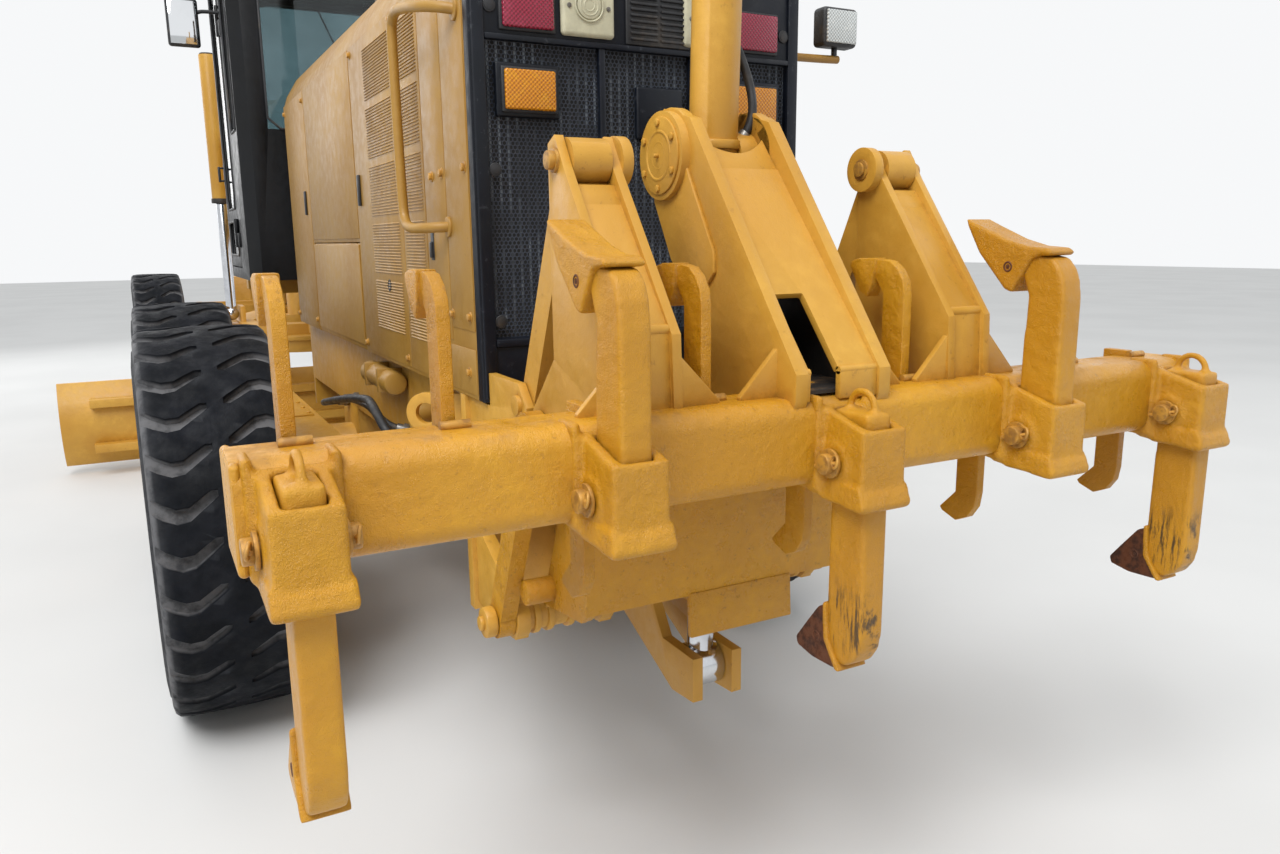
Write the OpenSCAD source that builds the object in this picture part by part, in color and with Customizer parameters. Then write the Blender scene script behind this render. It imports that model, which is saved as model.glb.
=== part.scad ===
// Motor grader with a rear ripper. +X is forward, +Y is left, +Z is up, in millimetres.
// Every module is drawn with X = 0 at the middle of the rear axles and Z = 0 on the ground.

/* [Machine] */
// Distance from the middle of the rear axles to the front axle
wheelbase = 6086; // [5900:1:6200]
// Distance between the two axles of one tandem
tandem_pitch = 1523; // [1500:1:1560]
// Distance from the middle of the machine to the middle of each tyre
half_track = 1070; // [1060:1:1090]
// Place of the steering hinge between the rear and the front frame
hinge_x = 1350; // [1330:1:1370]

/* [Tyres] */
// Diameter over the lugs
tyre_d = 1370; // [1340:1:1400]
// Width of a tyre
tyre_w = 445; // [420:1:450]
// Diameter of the rim under the bead
rim_d = 635; // [600:1:650]
// Lugs on each half of the tread
lug_count = 30; // [24:1:32]
// Height of a lug
lug_h = 28; // [15:1:32]
// Share of the tread's circumference under lugs
lug_share = 0.5; // [0.35:0.01:0.6]
// Radius of each wheel spindle
spindle_r = 80; // [70:1:90]

/* [Rear frame] */
// Distance from the middle to the outside of each rail
rail_out = 430; // [420:1:440]
// Width of each rail
rail_w = 100; // [80:1:110]
// Height of the rails' undersides
rail_z = 925; // [915:1:940]
// Height of the hood's lower edge and the rails' top
hood_z = 1240; // [1230:1:1260]
// Rear face of the bumper plate
bumper_x = -1937; // [-1960:1:-1920]
// Thickness of the bumper plate
bumper_t = 40; // [30:1:60]

/* [Hood] */
// Half width of the hood
hood_half_w = 489; // [480:1:500]
// Height where the side turns into the shoulder
shoulder_z = 2380; // [2340:1:2400]
// Height of the hood's top
hood_top = 2470; // [2440:1:2500]
// Rear face of the grille frame
grille_x = -2098; // [-2120:1:-2080]
// Front end of the hood
hood_front = 900; // [860:1:920]
// Wall of the hood
hood_t = 8; // [6:1:12]

/* [Cab] */
// Rear wall of the cab
cab_x = 1150; // [1130:1:1180]
// Length of the cab
cab_l = 1300; // [1280:1:1320]
// Half width of the cab
cab_half_w = 690; // [670:1:710]
// Height of the cab floor's underside
cab_z = 1450; // [1450:1:1480]
// Height of the cab's roof
cab_top = 3356; // [3320:1:3400]
// Thickness of each glass pane
glass_t = 6; // [5:1:8]

/* [Front frame] */
// Half width of the front beam
beam_half_w = 150; // [130:1:160]
// Depth of the front beam
beam_h = 360; // [340:1:380]
// Height of the arch's top over the blade
arch_z = 2150; // [2120:1:2200]
// Distance from the front axle to the face of the push block
push_ahead = 914; // [900:1:940]

/* [Front axle] */
// Height of the pin that the axle rocks on
rock_z = 860; // [850:1:880]
// Distance from the middle to each lean pin
lean_y = 700; // [690:1:710]
// Height of the lean pins
lean_z = 660; // [650:1:670]
// Distance from the middle to each kingpin
king_y = 880; // [870:1:890]
// Height of the lean bar's pins over the lean pins
lean_bar_h = 390; // [380:1:400]

/* [Blade] */
// Middle of the circle
circle_x = 3700; // [3690:1:3720]
// Outer radius of the circle
circle_r = 765; // [755:1:775]
// Height of the circle's underside
circle_z = 850; // [840:1:870]
// Thickness of the circle
circle_t = 90; // [80:1:100]
// Distance from the front axle back to the drawbar's ball
ball_back = 436; // [430:1:442]
// Height of that ball
ball_z = 985; // [980:1:995]
// Length of the moldboard
blade_l = 3658; // [3600:1:3700]
// Height of the moldboard with its edge
blade_h = 610; // [600:1:620]
// Radius of the moldboard's face
blade_r = 413; // [405:1:420]
// Thickness of the moldboard
blade_t = 22; // [18:1:25]
// Clearance between the cutting edge and the ground
blade_gap = 60; // [40:1:80]
// Distance from the circle's middle back to the cutting edge
edge_back = 166; // [155:1:180]

/* [Ripper] */
// Spacing of the ripper pockets
pocket_pitch = 534; // [520:1:540]
// Length of the ripper beam
rbeam_l = 2310; // [2290:1:2340]
// Front face of the ripper beam
rbeam_x = -2745; // [-2755:1:-2735]
// Depth of the ripper beam, front to rear
rbeam_w = 175; // [165:1:195]
// Underside of the ripper beam
rbeam_z = 1150; // [1140:1:1160]
// Height of the ripper beam
rbeam_h = 182; // [175:1:188]
// Wall of the ripper beam
rbeam_t = 14; // [10:1:18]
// Width of a pocket
pocket_w = 110; // [104:1:116]
// Width of a ripper shank
shank_w = 62; // [56:1:66]
// Depth of a ripper shank, front to rear
shank_d = 104; // [96:1:108]
// Thickness of a scarifier shank
tooth_w = 30; // [24:1:34]
// Depth of a scarifier shank, front to rear
scarifier_d = 74; // [66:1:78]
// Radius of the shank pins
shank_pin_r = 22; // [18:1:24]
// Length of the ripper's lifting links, pin to pin
link_l = 600; // [590:1:610]
// Slope of the links at rest
link_deg = 64.4; // [62:0.1:66]
// Distance from the middle to the middle of each upper link
link_y = 412; // [408:1:416]
// Width of a link's eye
link_w = 86; // [80:1:86]
// Thickness of the tower plates
tower_t = 20; // [16:1:22]
// Radius of the link pins
link_pin_r = 24; // [22:1:26]
// Radius of the lift cylinder's barrel
ram_r = 58; // [54:1:60]

/* [Fits] */
// Gap round a turning pin
fit = 0.3; // [0.2:0.1:0.6]
// Gap beside a moving piece
side_gap = 2; // [1:0.5:4]

/* [Hidden] */

// Wheels
tyre_r = tyre_d / 2;
rim_r = rim_d / 2;
lug_step = 360 / lug_count;
lug_half = lug_step * lug_share / 2;
// The inner end of a lug stands level with the outer end of the next one
lug_skew = lug_step;
axle_z = tyre_r * cos(lug_half);
tandem_half = tandem_pitch / 2;
tyre_in = half_track - tyre_w / 2;
case_out = tyre_in - 48;
case_in = case_out - 200;
case_r = 230;
pivot_r = 130;
rim_half_w = 178;
rim_t = 14;
hub_r = 165;
hub_in = 60;
hub_out = 90;
bore_out = 45;
spindle_out = 40;

// Rear frame
rail_in = rail_out - rail_w;
rail_front = 1000;
cross_h = 150;
cross_x = [-1500, -500, 450];
pin_r = 60;
lug_r = 130;
lug_t = 60;
lug_low_z = 820;
lug_top_z = 1260;
eye_x = -1620;
eye_y = 510;
eye_z = 1143;
eye_t = 24;
eye_r = 62;
eye_bore_r = 32;
eye_deg = 40;

// Ripper
rbeam_back = rbeam_x - rbeam_w;
rbeam_top = rbeam_z + rbeam_h;
link_dx = link_l * cos(link_deg);
link_dz = link_l * sin(link_deg);
up_x = rbeam_x + 170;
up_z = rbeam_z + 658;
low_x = rbeam_x + 286;
low_z = rbeam_z + 81;
up_front_x = up_x + link_dx;
up_front_z = up_z - link_dz;
low_front_x = low_x + link_dx;
low_front_z = low_z - link_dz;
link_eye_r = 52;
trunnion_x = rbeam_x + 328;
trunnion_z = rbeam_z + 689;
ram_eye_x = bumper_x - 423;
ram_eye_z = 520;
ram_deg = atan2(ram_eye_x - trunnion_x, trunnion_z - ram_eye_z);
ram_low = 60;
ram_top = 1040;
ram_engage = 45;
rod_r = 35;
eye_half_w = 43;
shank_front = rbeam_back - 3;
shank_back = shank_front - shank_d;
pocket_back = shank_back - 21;
pocket_lip = 8;
boss_y = pocket_w / 2 + 5;
shank_pin_x = rbeam_back - 38;
shank_pin_z = rbeam_z + 58;
// Ripper shanks from the left: 1 hangs down, 0 is parked with its tip up
SHANKS = [1, 0, 1, 0, 1];
// Scarifier shanks from the left: 1 hangs down, 0 is parked with its tip up, one more per pocket gap
SCARIFIERS = [0, 0, 1, 0, 1, 0, 1, 0, 1];
scarifier_pitch = (rbeam_l - 198) / 8;
scarifier_front = rbeam_x + 4;

// Front machine
push_x = wheelbase + push_ahead;
ball_x = wheelbase - ball_back;
edge_x = circle_x - edge_back;
push_z = 1050;
cab_front = cab_x + cab_l;
x_mid = (push_x + pocket_back) / 2;

// Helpers

// A box between two corners
module span(x0, x1, y0, y1, z0, z1) translate([x0, y0, z0]) cube([x1 - x0, y1 - y0, z1 - z0]);

// The same on the left and on the right
module both() {
    children();
    mirror([0, 1, 0]) children();
}

// A bar along Y
module bar_y(r, x, z, y0, y1) translate([x, y0, z]) rotate([-90, 0, 0]) cylinder(r = r, h = y1 - y0, $fn = 48);

// A bar along X
module bar_x(r, x0, x1, y, z) translate([x0, y, z]) rotate([0, 90, 0]) cylinder(r = r, h = x1 - x0, $fn = 48);

// A plate with an outline in the side view, from y0 to y1
module side_plate(points, y0, y1)
    translate([0, y1, 0]) rotate([90, 0, 0]) linear_extrude(height = y1 - y0) polygon(points);

// A plate with an outline in the rear view, from x0 to x1
module rear_plate(points, x0, x1)
    translate([x0, 0, 0]) rotate([90, 0, 90]) linear_extrude(height = x1 - x0) polygon(points);

// A flat bar between two points of the side view, w deep, that stops short of both by the inset
module strut(a, b, w, y0, y1, inset = 0)
    translate([a[0], y0, a[1]]) rotate([0, -atan2(b[1] - a[1], b[0] - a[0]), 0])
        translate([inset, 0, -w / 2]) cube([norm(b - a) - 2 * inset, y1 - y0, w]);

// A rectangle with round corners, centred
module round_rect(w, h, r) {
    square([w - 2 * r, h], center = true);
    square([w, h - 2 * r], center = true);
    for (sx = [-1, 1], sy = [-1, 1]) translate([sx * (w / 2 - r), sy * (h / 2 - r)]) circle(r = r, $fn = 32);
}

// Wheels

tyre_half = [
    [rim_r + fit, 0], [rim_r + fit, 150], [rim_r + 25, rim_half_w - 2], [rim_r + 60, rim_half_w + 14],
    [rim_r + 165, tyre_w / 2], [tyre_r - 85, tyre_w / 2 - 4], [tyre_r - 50, tyre_w / 2 - 18],
    [tyre_r - lug_h, tyre_w / 2 - 52]
];

function flip(points) = [for (i = [len(points) - 1 : -1 : 1]) [points[i][0], -points[i][1]]];

function on_tread(r, a, y) = [r * cos(a), y, r * sin(a)];

// One lug from the middle of the tread to its shoulder, side 1 is left and -1 is right
module lug(a, side) {
    y0 = side * 12;
    y1 = side * (tyre_w / 2 - 8);
    in = tyre_r - lug_h - 12;
    low = tyre_r - 90;
    half = lug_half;
    polyhedron(
        points = [
            on_tread(in, a + lug_skew - half, y0), on_tread(in, a + lug_skew + half, y0),
            on_tread(tyre_r, a + lug_skew + half, y0), on_tread(tyre_r, a + lug_skew - half, y0),
            on_tread(low, a - half, y1), on_tread(low, a + half, y1),
            on_tread(tyre_r, a + half, y1 - side * 14), on_tread(tyre_r, a - half, y1 - side * 14)
        ],
        faces = side > 0
            ? [[0, 1, 2], [0, 2, 3], [4, 6, 5], [4, 7, 6], [0, 5, 1], [0, 4, 5], [1, 6, 2], [1, 5, 6],
               [2, 7, 3], [2, 6, 7], [3, 4, 0], [3, 7, 4]]
            : [[0, 2, 1], [0, 3, 2], [4, 5, 6], [4, 6, 7], [0, 1, 5], [0, 5, 4], [1, 2, 6], [1, 6, 5],
               [2, 3, 7], [2, 7, 6], [3, 0, 4], [3, 4, 7]]
    );
}

module tyre(x, side) {
    color([0.07, 0.08, 0.1]) translate([x, side * half_track, axle_z]) {
        rotate([90, 0, 0]) rotate_extrude($fn = 90) polygon(concat(tyre_half, flip(tyre_half)));
        for (i = [0 : lug_count - 1], s = [-1, 1]) lug(-90 + i * lug_step, s);
    }
}

// A rim with its disc, and the hub that turns on the spindle
module rim(x, side) {
    color([0.87, 0.65, 0.2]) translate([x, side * half_track, axle_z]) rotate([-90 * side, 0, 0])
        rotate_extrude($fn = 90) polygon([
            [spindle_r + fit, -hub_in], [hub_r, -hub_in], [hub_r, 8], [rim_r - rim_t - 30, 8],
            [rim_r - rim_t, -20], [rim_r - rim_t, 8 - rim_half_w], [rim_r + 20, -rim_half_w - 8],
            [rim_r + 20, -rim_half_w], [rim_r, -rim_half_w + 12], [rim_r, rim_half_w - 12],
            [rim_r + 20, rim_half_w], [rim_r + 20, rim_half_w + 8], [rim_r - rim_t, rim_half_w - 8],
            [rim_r - rim_t, 52], [rim_r - rim_t - 30, 30], [hub_r, 30], [hub_r - 20, hub_out],
            [0, hub_out], [0, bore_out], [spindle_r + fit, bore_out]
        ]);
}

// A tandem case with its two wheel spindles and the bore that it rocks on
module tandem(side) {
    y0 = side > 0 ? case_in : -case_out;
    y1 = side > 0 ? case_out : -case_in;
    color([0.87, 0.65, 0.2]) {
        difference() {
            union() {
                for (x = [-tandem_half, tandem_half]) bar_y(case_r, x, axle_z, y0, y1);
                span(-tandem_half, tandem_half, y0, y1, axle_z - case_r, axle_z + case_r);
            }
            bar_y(pivot_r + fit, 0, axle_z, side > 0 ? case_in - 1 : -case_in - 110,
                side > 0 ? case_in + 110 : -case_in + 1);
        }
        for (x = [-tandem_half, tandem_half])
            bar_y(spindle_r, x, axle_z, side > 0 ? case_out : -half_track - spindle_out,
                side > 0 ? half_track + spindle_out : -case_out);
    }
}

module rear_axle() {
    color([0.87, 0.65, 0.2]) {
        bar_y(150, 0, axle_z, -case_in + fit, case_in - fit);
        both() bar_y(pivot_r, 0, axle_z, case_in - fit, case_in + 100);
        span(-260, 260, -240, 240, axle_z - 220, rail_z - 10);
        both() span(-170, 170, rail_in, rail_out, axle_z, rail_z);
    }
}

// Rear frame

module hinge_lug(z) difference() {
    union() {
        span(rail_front, hinge_x, -lug_r, lug_r, z, z + lug_t);
        translate([hinge_x, 0, z]) cylinder(r = lug_r, h = lug_t, $fn = 64);
    }
    translate([hinge_x, 0, z - 1]) cylinder(r = pin_r + fit, h = lug_t + 2, $fn = 48);
}

module rear_frame() {
    color([0.8, 0.6, 0.2]) {
        both() span(bumper_x + bumper_t, rail_front - 40, rail_in, rail_out, rail_z, hood_z);
        span(bumper_x, bumper_x + bumper_t, -hood_half_w, hood_half_w, 620, hood_z);
        for (x = cross_x) span(x - 50, x + 50, -rail_in, rail_in, rail_z, rail_z + cross_h);
        span(rail_front - 40, rail_front, -rail_out, rail_out, 780, 1360);
        for (z = [lug_low_z, lug_top_z]) hinge_lug(z);
        both() translate([eye_x, eye_y, eye_z]) rotate([0, 0, -eye_deg]) difference() {
            union() {
                span(-eye_t / 2, eye_t / 2, (rail_out - eye_y - 10) / cos(eye_deg), 0, -eye_r, eye_r);
                bar_x(eye_r, -eye_t / 2, eye_t / 2, 0, 0);
            }
            bar_x(eye_bore_r, -eye_t, eye_t, 0, 0);
        }
    }
    color([0.4, 0.4, 0.42]) translate([hinge_x, 0, lug_low_z - 20])
        cylinder(r = pin_r, h = lug_top_z + lug_t - lug_low_z + 40, $fn = 48);
}

module ripper_mount() {
    out = link_y + link_w / 2 + side_gap;
    in = link_y - link_w / 2 - side_gap;
    upper = [
        [bumper_x, 900], [bumper_x, hood_z - 5], [grille_x - 12, hood_z - 5],
        [grille_x - 12, up_front_z + link_eye_r], [up_front_x, up_front_z + link_eye_r], [up_front_x - link_eye_r, up_front_z],
        [up_front_x - 40, up_front_z - 60]
    ];
    color([0.87, 0.65, 0.2]) {
        both() for (y = [out, in - tower_t]) difference() {
            side_plate(upper, y, y + tower_t);
            bar_y(link_pin_r + fit, up_front_x, up_front_z, y - 1, y + tower_t + 1);
        }
        both() difference() {
            for (y = low_ear_y) side_plate([
                [bumper_x, 640], [bumper_x, 880], [low_front_x - 30, low_front_z + link_eye_r],
                [low_front_x - link_eye_r, low_front_z], [low_front_x - 30, low_front_z - link_eye_r]
            ], y, y + low_ear_t);
            bar_y(link_pin_r + fit, low_front_x, low_front_z, low_ear_y[0] - 1, low_out);
        }
        both() side_plate([[bumper_x, 630], [bumper_x, 1100], [ram_eye_x + 70, ram_eye_z + 60],
                           [ram_eye_x - 90, ram_eye_z + 60], [ram_eye_x - 90, ram_eye_z - 60],
                           [ram_eye_x + 20, ram_eye_z - 70]], eye_half_w + side_gap, eye_half_w + side_gap + 30);
        both() bar_y(link_pin_r, up_front_x, up_front_z, in - tower_t - 6, out + tower_t + 10);
        both() bar_y(link_pin_r, low_front_x, low_front_z, low_ear_y[0] - 12, low_out + 12);
    }
}

// Hood

hood_section = [
    [hood_half_w, hood_z], [hood_half_w, shoulder_z - 60], [hood_half_w - 20, shoulder_z],
    [hood_half_w - 75, hood_top], [75 - hood_half_w, hood_top], [20 - hood_half_w, shoulder_z],
    [-hood_half_w, shoulder_z - 60], [-hood_half_w, hood_z]
];
hood_inside = [
    [hood_half_w - hood_t, hood_z - 1], [hood_half_w - hood_t, shoulder_z - 62],
    [hood_half_w - 20 - hood_t, shoulder_z - 4], [hood_half_w - 79, hood_top - hood_t],
    [79 - hood_half_w, hood_top - hood_t], [20 + hood_t - hood_half_w, shoulder_z - 4],
    [hood_t - hood_half_w, shoulder_z - 62], [hood_t - hood_half_w, hood_z - 1]
];
tank_x = [-726, 280];
tank_z = [hood_z + 5, hood_z + 410];
pane_y = [[39 - hood_half_w, -140], [-130, 130], [140, hood_half_w - 39]];
pane_z = [hood_z + 164, shoulder_z - 250];
grille_t = 38;
core_t = 112;

module hood() color([0.8, 0.6, 0.2]) difference() {
    rear_plate(hood_section, grille_x + grille_t, hood_front);
    rear_plate(hood_inside, grille_x, hood_front - hood_t);
    both() span(tank_x[0], tank_x[1], hood_half_w - 20, hood_half_w + 1, tank_z[0] - 10, tank_z[1]);
}

module side_tanks() color([0.8, 0.6, 0.2]) both()
    span(tank_x[0] + 1, tank_x[1] - 1, rail_in + 10, hood_half_w, hood_z, tank_z[1] - 1);

module rear_grille() color([0.1, 0.12, 0.16]) {
    difference() {
        rear_plate(hood_section, grille_x, grille_x + grille_t);
        for (y = pane_y) span(grille_x - 1, grille_x + grille_t + 1, y[0], y[1], pane_z[0], pane_z[1]);
    }
    for (y = pane_y) span(grille_x + 16, grille_x + 22, y[0], y[1], pane_z[0], pane_z[1]);
}

module radiator_core() color([0.12, 0.13, 0.15]) span(grille_x + grille_t, grille_x + grille_t + core_t,
    49 - hood_half_w, hood_half_w - 49, pane_z[0] - 24, shoulder_z - 80);

engine_x = [-1400, 300];
engine_top = shoulder_z - 430;

module engine_block() color([0.25, 0.25, 0.27])
    span(engine_x[0], engine_x[1], -rail_in, rail_in, rail_z + cross_h, engine_top);

lamp_t = 16;
lamp_x = grille_x - lamp_t;
lamp_y = 270;
lamp_w = 136;
lamp_h = 97;
stop_z = shoulder_z - 223;
turn_z = stop_z - 191;
box_y = 103;
box_w = 147;
box_h = 139;

module rear_lamps() {
    color([0.67, 0.16, 0.28]) both() span(lamp_x, grille_x, lamp_y, lamp_y + lamp_w, stop_z, stop_z + lamp_h);
    color([0.94, 0.63, 0.08]) both() span(lamp_x, grille_x + 16, lamp_y, lamp_y + lamp_w, turn_z, turn_z + lamp_h);
    color([0.88, 0.84, 0.7]) both() span(lamp_x, grille_x, box_y, box_y + box_w, stop_z - 6, stop_z - 6 + box_h);
}

module exhaust_stack() color([0.35, 0.33, 0.3]) {
    translate([-200, 180, hood_top]) cylinder(r = 70, h = 250, $fn = 40);
    translate([-200, 180, hood_top + 250]) cylinder(r = 45, h = 3256 - hood_top - 250, $fn = 40);
    translate([300, -200, hood_top]) cylinder(r = 90, h = 180, $fn = 40);
    translate([300, -200, hood_top + 180]) cylinder(r = 120, h = 90, $fn = 40);
}

rail_x = -1780;

module grab_rails() color([0.87, 0.65, 0.2]) both() {
    translate([rail_x, hood_half_w + 75, 1420]) cylinder(r = 15, h = 840, $fn = 24);
    for (z = [1440, 2240]) bar_y(13, rail_x, z, hood_half_w, hood_half_w + 75);
    span(-1860, -1500, rail_out, case_in - 25, 985, 1010);
}

// Front frame and cab

neck_x = hinge_x + 130;
neck_z = 1000;
neck_top = 1360;
arch_low = 1790;
nose_low = 1250;
nose_x = push_x - 300;
arch_front = ball_x - 1300;
beam_side = [
    [neck_x, neck_z], [cab_front + 450, neck_z], [cab_front + 510, arch_low], [arch_front, arch_low],
    [ball_x - 200, nose_low], [nose_x, nose_low], [nose_x, nose_low + beam_h], [ball_x - 110, nose_low + beam_h],
    [arch_front + 100, arch_z], [cab_front + 310, arch_z], [cab_front + 90, neck_top], [neck_x, neck_top]
];
rock_pin_r = 50;
hanger_r = 110;
hanger_t = 70;
hanger_x = [wheelbase - 235, wheelbase + 165];
ball_pin_r = 40;
ball_half_w = 68;
push_half_w = 350;
push_bolt_y = 250;
push_bolt_z = 125;
push_bolt_r = 13;
cab_mount_x = [cab_x + 470, cab_front - 150];

module front_frame() color([0.87, 0.65, 0.2]) {
    side_plate(beam_side, -beam_half_w, beam_half_w);
    difference() {
        union() {
            span(hinge_x, neck_x, -lug_r, lug_r, lug_low_z + lug_t + 5, lug_top_z - 5);
            translate([hinge_x, 0, lug_low_z + lug_t + 5])
                cylinder(r = lug_r, h = lug_top_z - lug_low_z - lug_t - 10, $fn = 64);
        }
        translate([hinge_x, 0, lug_low_z]) cylinder(r = pin_r + fit, h = 500, $fn = 48);
    }
    for (x = cab_mount_x) span(x - 60, x + 60, -cab_half_w + 90, cab_half_w - 90, neck_top, cab_z);
    for (x = hanger_x) difference() {
        union() {
            span(x, x + hanger_t, -hanger_r, hanger_r, rock_z, nose_low);
            bar_x(hanger_r, x, x + hanger_t, 0, rock_z);
        }
        bar_x(rock_pin_r + fit, x - 1, x + hanger_t + 1, 0, rock_z);
    }
    bar_x(rock_pin_r, hanger_x[0] - 10, hanger_x[1] + hanger_t + 10, 0, rock_z);
    both() difference() {
        span(ball_x - 60, ball_x + 60, ball_half_w + 4, ball_half_w + 34, ball_z - 70, nose_low);
        bar_y(ball_pin_r + fit, ball_x, ball_z, ball_half_w + 3, ball_half_w + 35);
    }
    bar_y(ball_pin_r, ball_x, ball_z, -ball_half_w - 42, ball_half_w + 42);
    difference() {
        span(push_x - 250, push_x, -push_half_w, push_half_w, push_z - 250, push_z + 250);
        for (y = [-push_bolt_y, push_bolt_y], z = [push_z - push_bolt_z, push_z + push_bolt_z])
            bar_x(push_bolt_r, push_x - 60, push_x + 1, y, z);
    }
    span(nose_x, push_x - 250, -beam_half_w, beam_half_w, neck_z, nose_low + beam_h);
}

cab_plan = [
    [cab_x, cab_half_w - 60], [cab_x + 60, cab_half_w], [cab_front - 260, cab_half_w],
    [cab_front, cab_half_w - 200], [cab_front, 200 - cab_half_w], [cab_front - 260, -cab_half_w],
    [cab_x + 60, -cab_half_w], [cab_x, 60 - cab_half_w]
];

module cab_prism(z0, z1) translate([0, 0, z0]) linear_extrude(height = z1 - z0) polygon(cab_plan);

module inner_prism(t, z0, z1) translate([0, 0, z0]) linear_extrude(height = z1 - z0) polygon([
    [cab_x + t, cab_half_w - 60 - t * 0.4], [cab_x + 60 + t * 0.4, cab_half_w - t],
    [cab_front - 260 - t * 0.3, cab_half_w - t], [cab_front - t, cab_half_w - 200 - t * 0.6],
    [cab_front - t, 200 + t * 0.6 - cab_half_w], [cab_front - 260 - t * 0.3, t - cab_half_w],
    [cab_x + 60 + t * 0.4, t - cab_half_w], [cab_x + t, 60 + t * 0.4 - cab_half_w]
]);

door_x = [cab_x + 420, cab_front - 300];
door_z = [cab_z + 60, cab_top - 200];
sill_z = 2250;
cab_wall = 50;
hinge_r = 12;
hinge_h = 80;
hinge_y = cab_half_w + hinge_r;
hinge_z = [door_z[0] + 200, door_z[1] - 300];

// Openings for the panes, each is a box through one wall
module window_cuts(grow) {
    both() span(cab_x + 100 - grow, cab_x + 350 + grow, cab_half_w - 80, cab_half_w + 1,
        sill_z - grow, door_z[1] + grow);
    span(cab_x - 1, cab_x + 80, 150 - cab_half_w - grow, cab_half_w - 150 + grow, sill_z - grow,
        door_z[1] + grow);
    span(cab_front - 80, cab_front + 1, 260 - cab_half_w - grow, cab_half_w - 260 + grow, 1950 - grow,
        door_z[1] + grow);
}

module cab_shell() color([0.1, 0.1, 0.12]) {
    difference() {
        cab_prism(cab_z, cab_top - 120);
        inner_prism(cab_wall, cab_z + 40, cab_top - 160);
        window_cuts(0);
        both() span(door_x[0], door_x[1], cab_half_w - 80, cab_half_w + 1, door_z[0], door_z[1]);
    }
    both() for (z = hinge_z) {
        translate([door_x[0], hinge_y, z - hinge_h - fit]) cylinder(r = hinge_r, h = hinge_h, $fn = 32);
        span(door_x[0] - 60, door_x[0], cab_half_w - 1, cab_half_w + hinge_r, z - hinge_h - fit, z - fit);
    }
    translate([0, 0, cab_top - 120]) linear_extrude(height = 120) polygon([
        [cab_x - 40, cab_half_w - 40], [cab_x + 40, cab_half_w + 20], [cab_front - 220, cab_half_w + 20],
        [cab_front + 60, cab_half_w - 190], [cab_front + 60, 190 - cab_half_w],
        [cab_front - 220, -cab_half_w - 20], [cab_x + 40, -cab_half_w - 20], [cab_x - 40, 40 - cab_half_w]
    ]);
}

module cab_glass() color([0.6, 0.7, 0.72, 0.4]) intersection() {
    difference() {
        inner_prism(20, cab_z, cab_top);
        inner_prism(20 + glass_t, cab_z - 1, cab_top + 1);
    }
    window_cuts(0);
}

module door(side) {
    y1 = side > 0 ? cab_half_w : -cab_half_w + 34;
    color([0.1, 0.1, 0.12]) difference() {
        span(door_x[0] + 6, door_x[1] - 6, y1 - 34, y1, door_z[0] + 6, door_z[1] - 6);
        span(door_x[0] + 70, door_x[1] - 70, y1 - 40, y1 + 6, 1850, door_z[1] - 70);
        span(door_x[0] + 70, door_x[1] - 70, y1 - 40, y1 + 6, door_z[0] + 70, 1780);
    }
    color([0.1, 0.1, 0.12]) mirror([0, side > 0 ? 0 : 1, 0]) for (z = hinge_z) {
        translate([door_x[0], hinge_y, z]) cylinder(r = hinge_r, h = hinge_h, $fn = 32);
        span(door_x[0], door_x[0] + 60, cab_half_w, cab_half_w + hinge_r, z, z + hinge_h);
    }
    color([0.6, 0.7, 0.72, 0.4]) {
        span(door_x[0] + 70, door_x[1] - 70, y1 - 20, y1 - 20 + glass_t, 1850, door_z[1] - 70);
        span(door_x[0] + 70, door_x[1] - 70, y1 - 20, y1 - 20 + glass_t, door_z[0] + 70, 1780);
    }
}

module seat_and_console() color([0.15, 0.15, 0.17]) {
    seat_x = cab_x + 330;
    span(seat_x, seat_x + 420, -200, 200, cab_z + 40, cab_z + 330);
    span(seat_x - 20, seat_x + 460, -240, 240, cab_z + 330, cab_z + 450);
    span(seat_x - 120, seat_x - 20, -230, 230, cab_z + 330, cab_z + 1050);
    span(cab_front - 330, cab_front - 210, -120, 120, cab_z + 40, cab_z + 700);
}

module mirrors() color([0.1, 0.1, 0.12]) both() {
    span(cab_x + 365, cab_x + 395, cab_half_w, cab_half_w + 160, cab_top - 476, cab_top - 456);
    span(cab_x + 360, cab_x + 400, cab_half_w + 110, cab_half_w + 270, cab_top - 656, cab_top - 406);
}

// Lift cylinders on the front frame

ram_y = 600;
lift_x = circle_x;
lift_pin_z = 1110;

module lift_saddle() color([0.87, 0.65, 0.2]) difference() {
    union() {
        span(lift_x - 110, lift_x + 110, -ram_y + 70, ram_y - 70, arch_z, arch_z + 260);
        both() span(lift_x - 130, lift_x + 130, beam_half_w, beam_half_w + 40, arch_z - 300, arch_z);
    }
    both() bar_y(40 + fit, lift_x, arch_z + 150, ram_y - 170, ram_y - 60);
}

module lift_barrels() color([0.87, 0.65, 0.2]) both() {
    difference() {
        translate([lift_x, ram_y, arch_z - 190]) cylinder(r = 62, h = 3040 - arch_z + 190, $fn = 48);
        translate([lift_x, ram_y, arch_z - 191]) cylinder(r = 38 + fit, h = 1060, $fn = 48);
    }
    bar_y(40, lift_x, arch_z + 150, ram_y - 160, ram_y - 50);
}

module lift_rods() color([0.7, 0.7, 0.72]) both() {
    translate([lift_x, ram_y, lift_pin_z]) cylinder(r = 38, h = 1500, $fn = 48);
    translate([lift_x, ram_y, lift_pin_z]) sphere(r = 54, $fn = 48);
}

// Front axle

steer_x = wheelbase - 172;
steer_z = 665;

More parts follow.
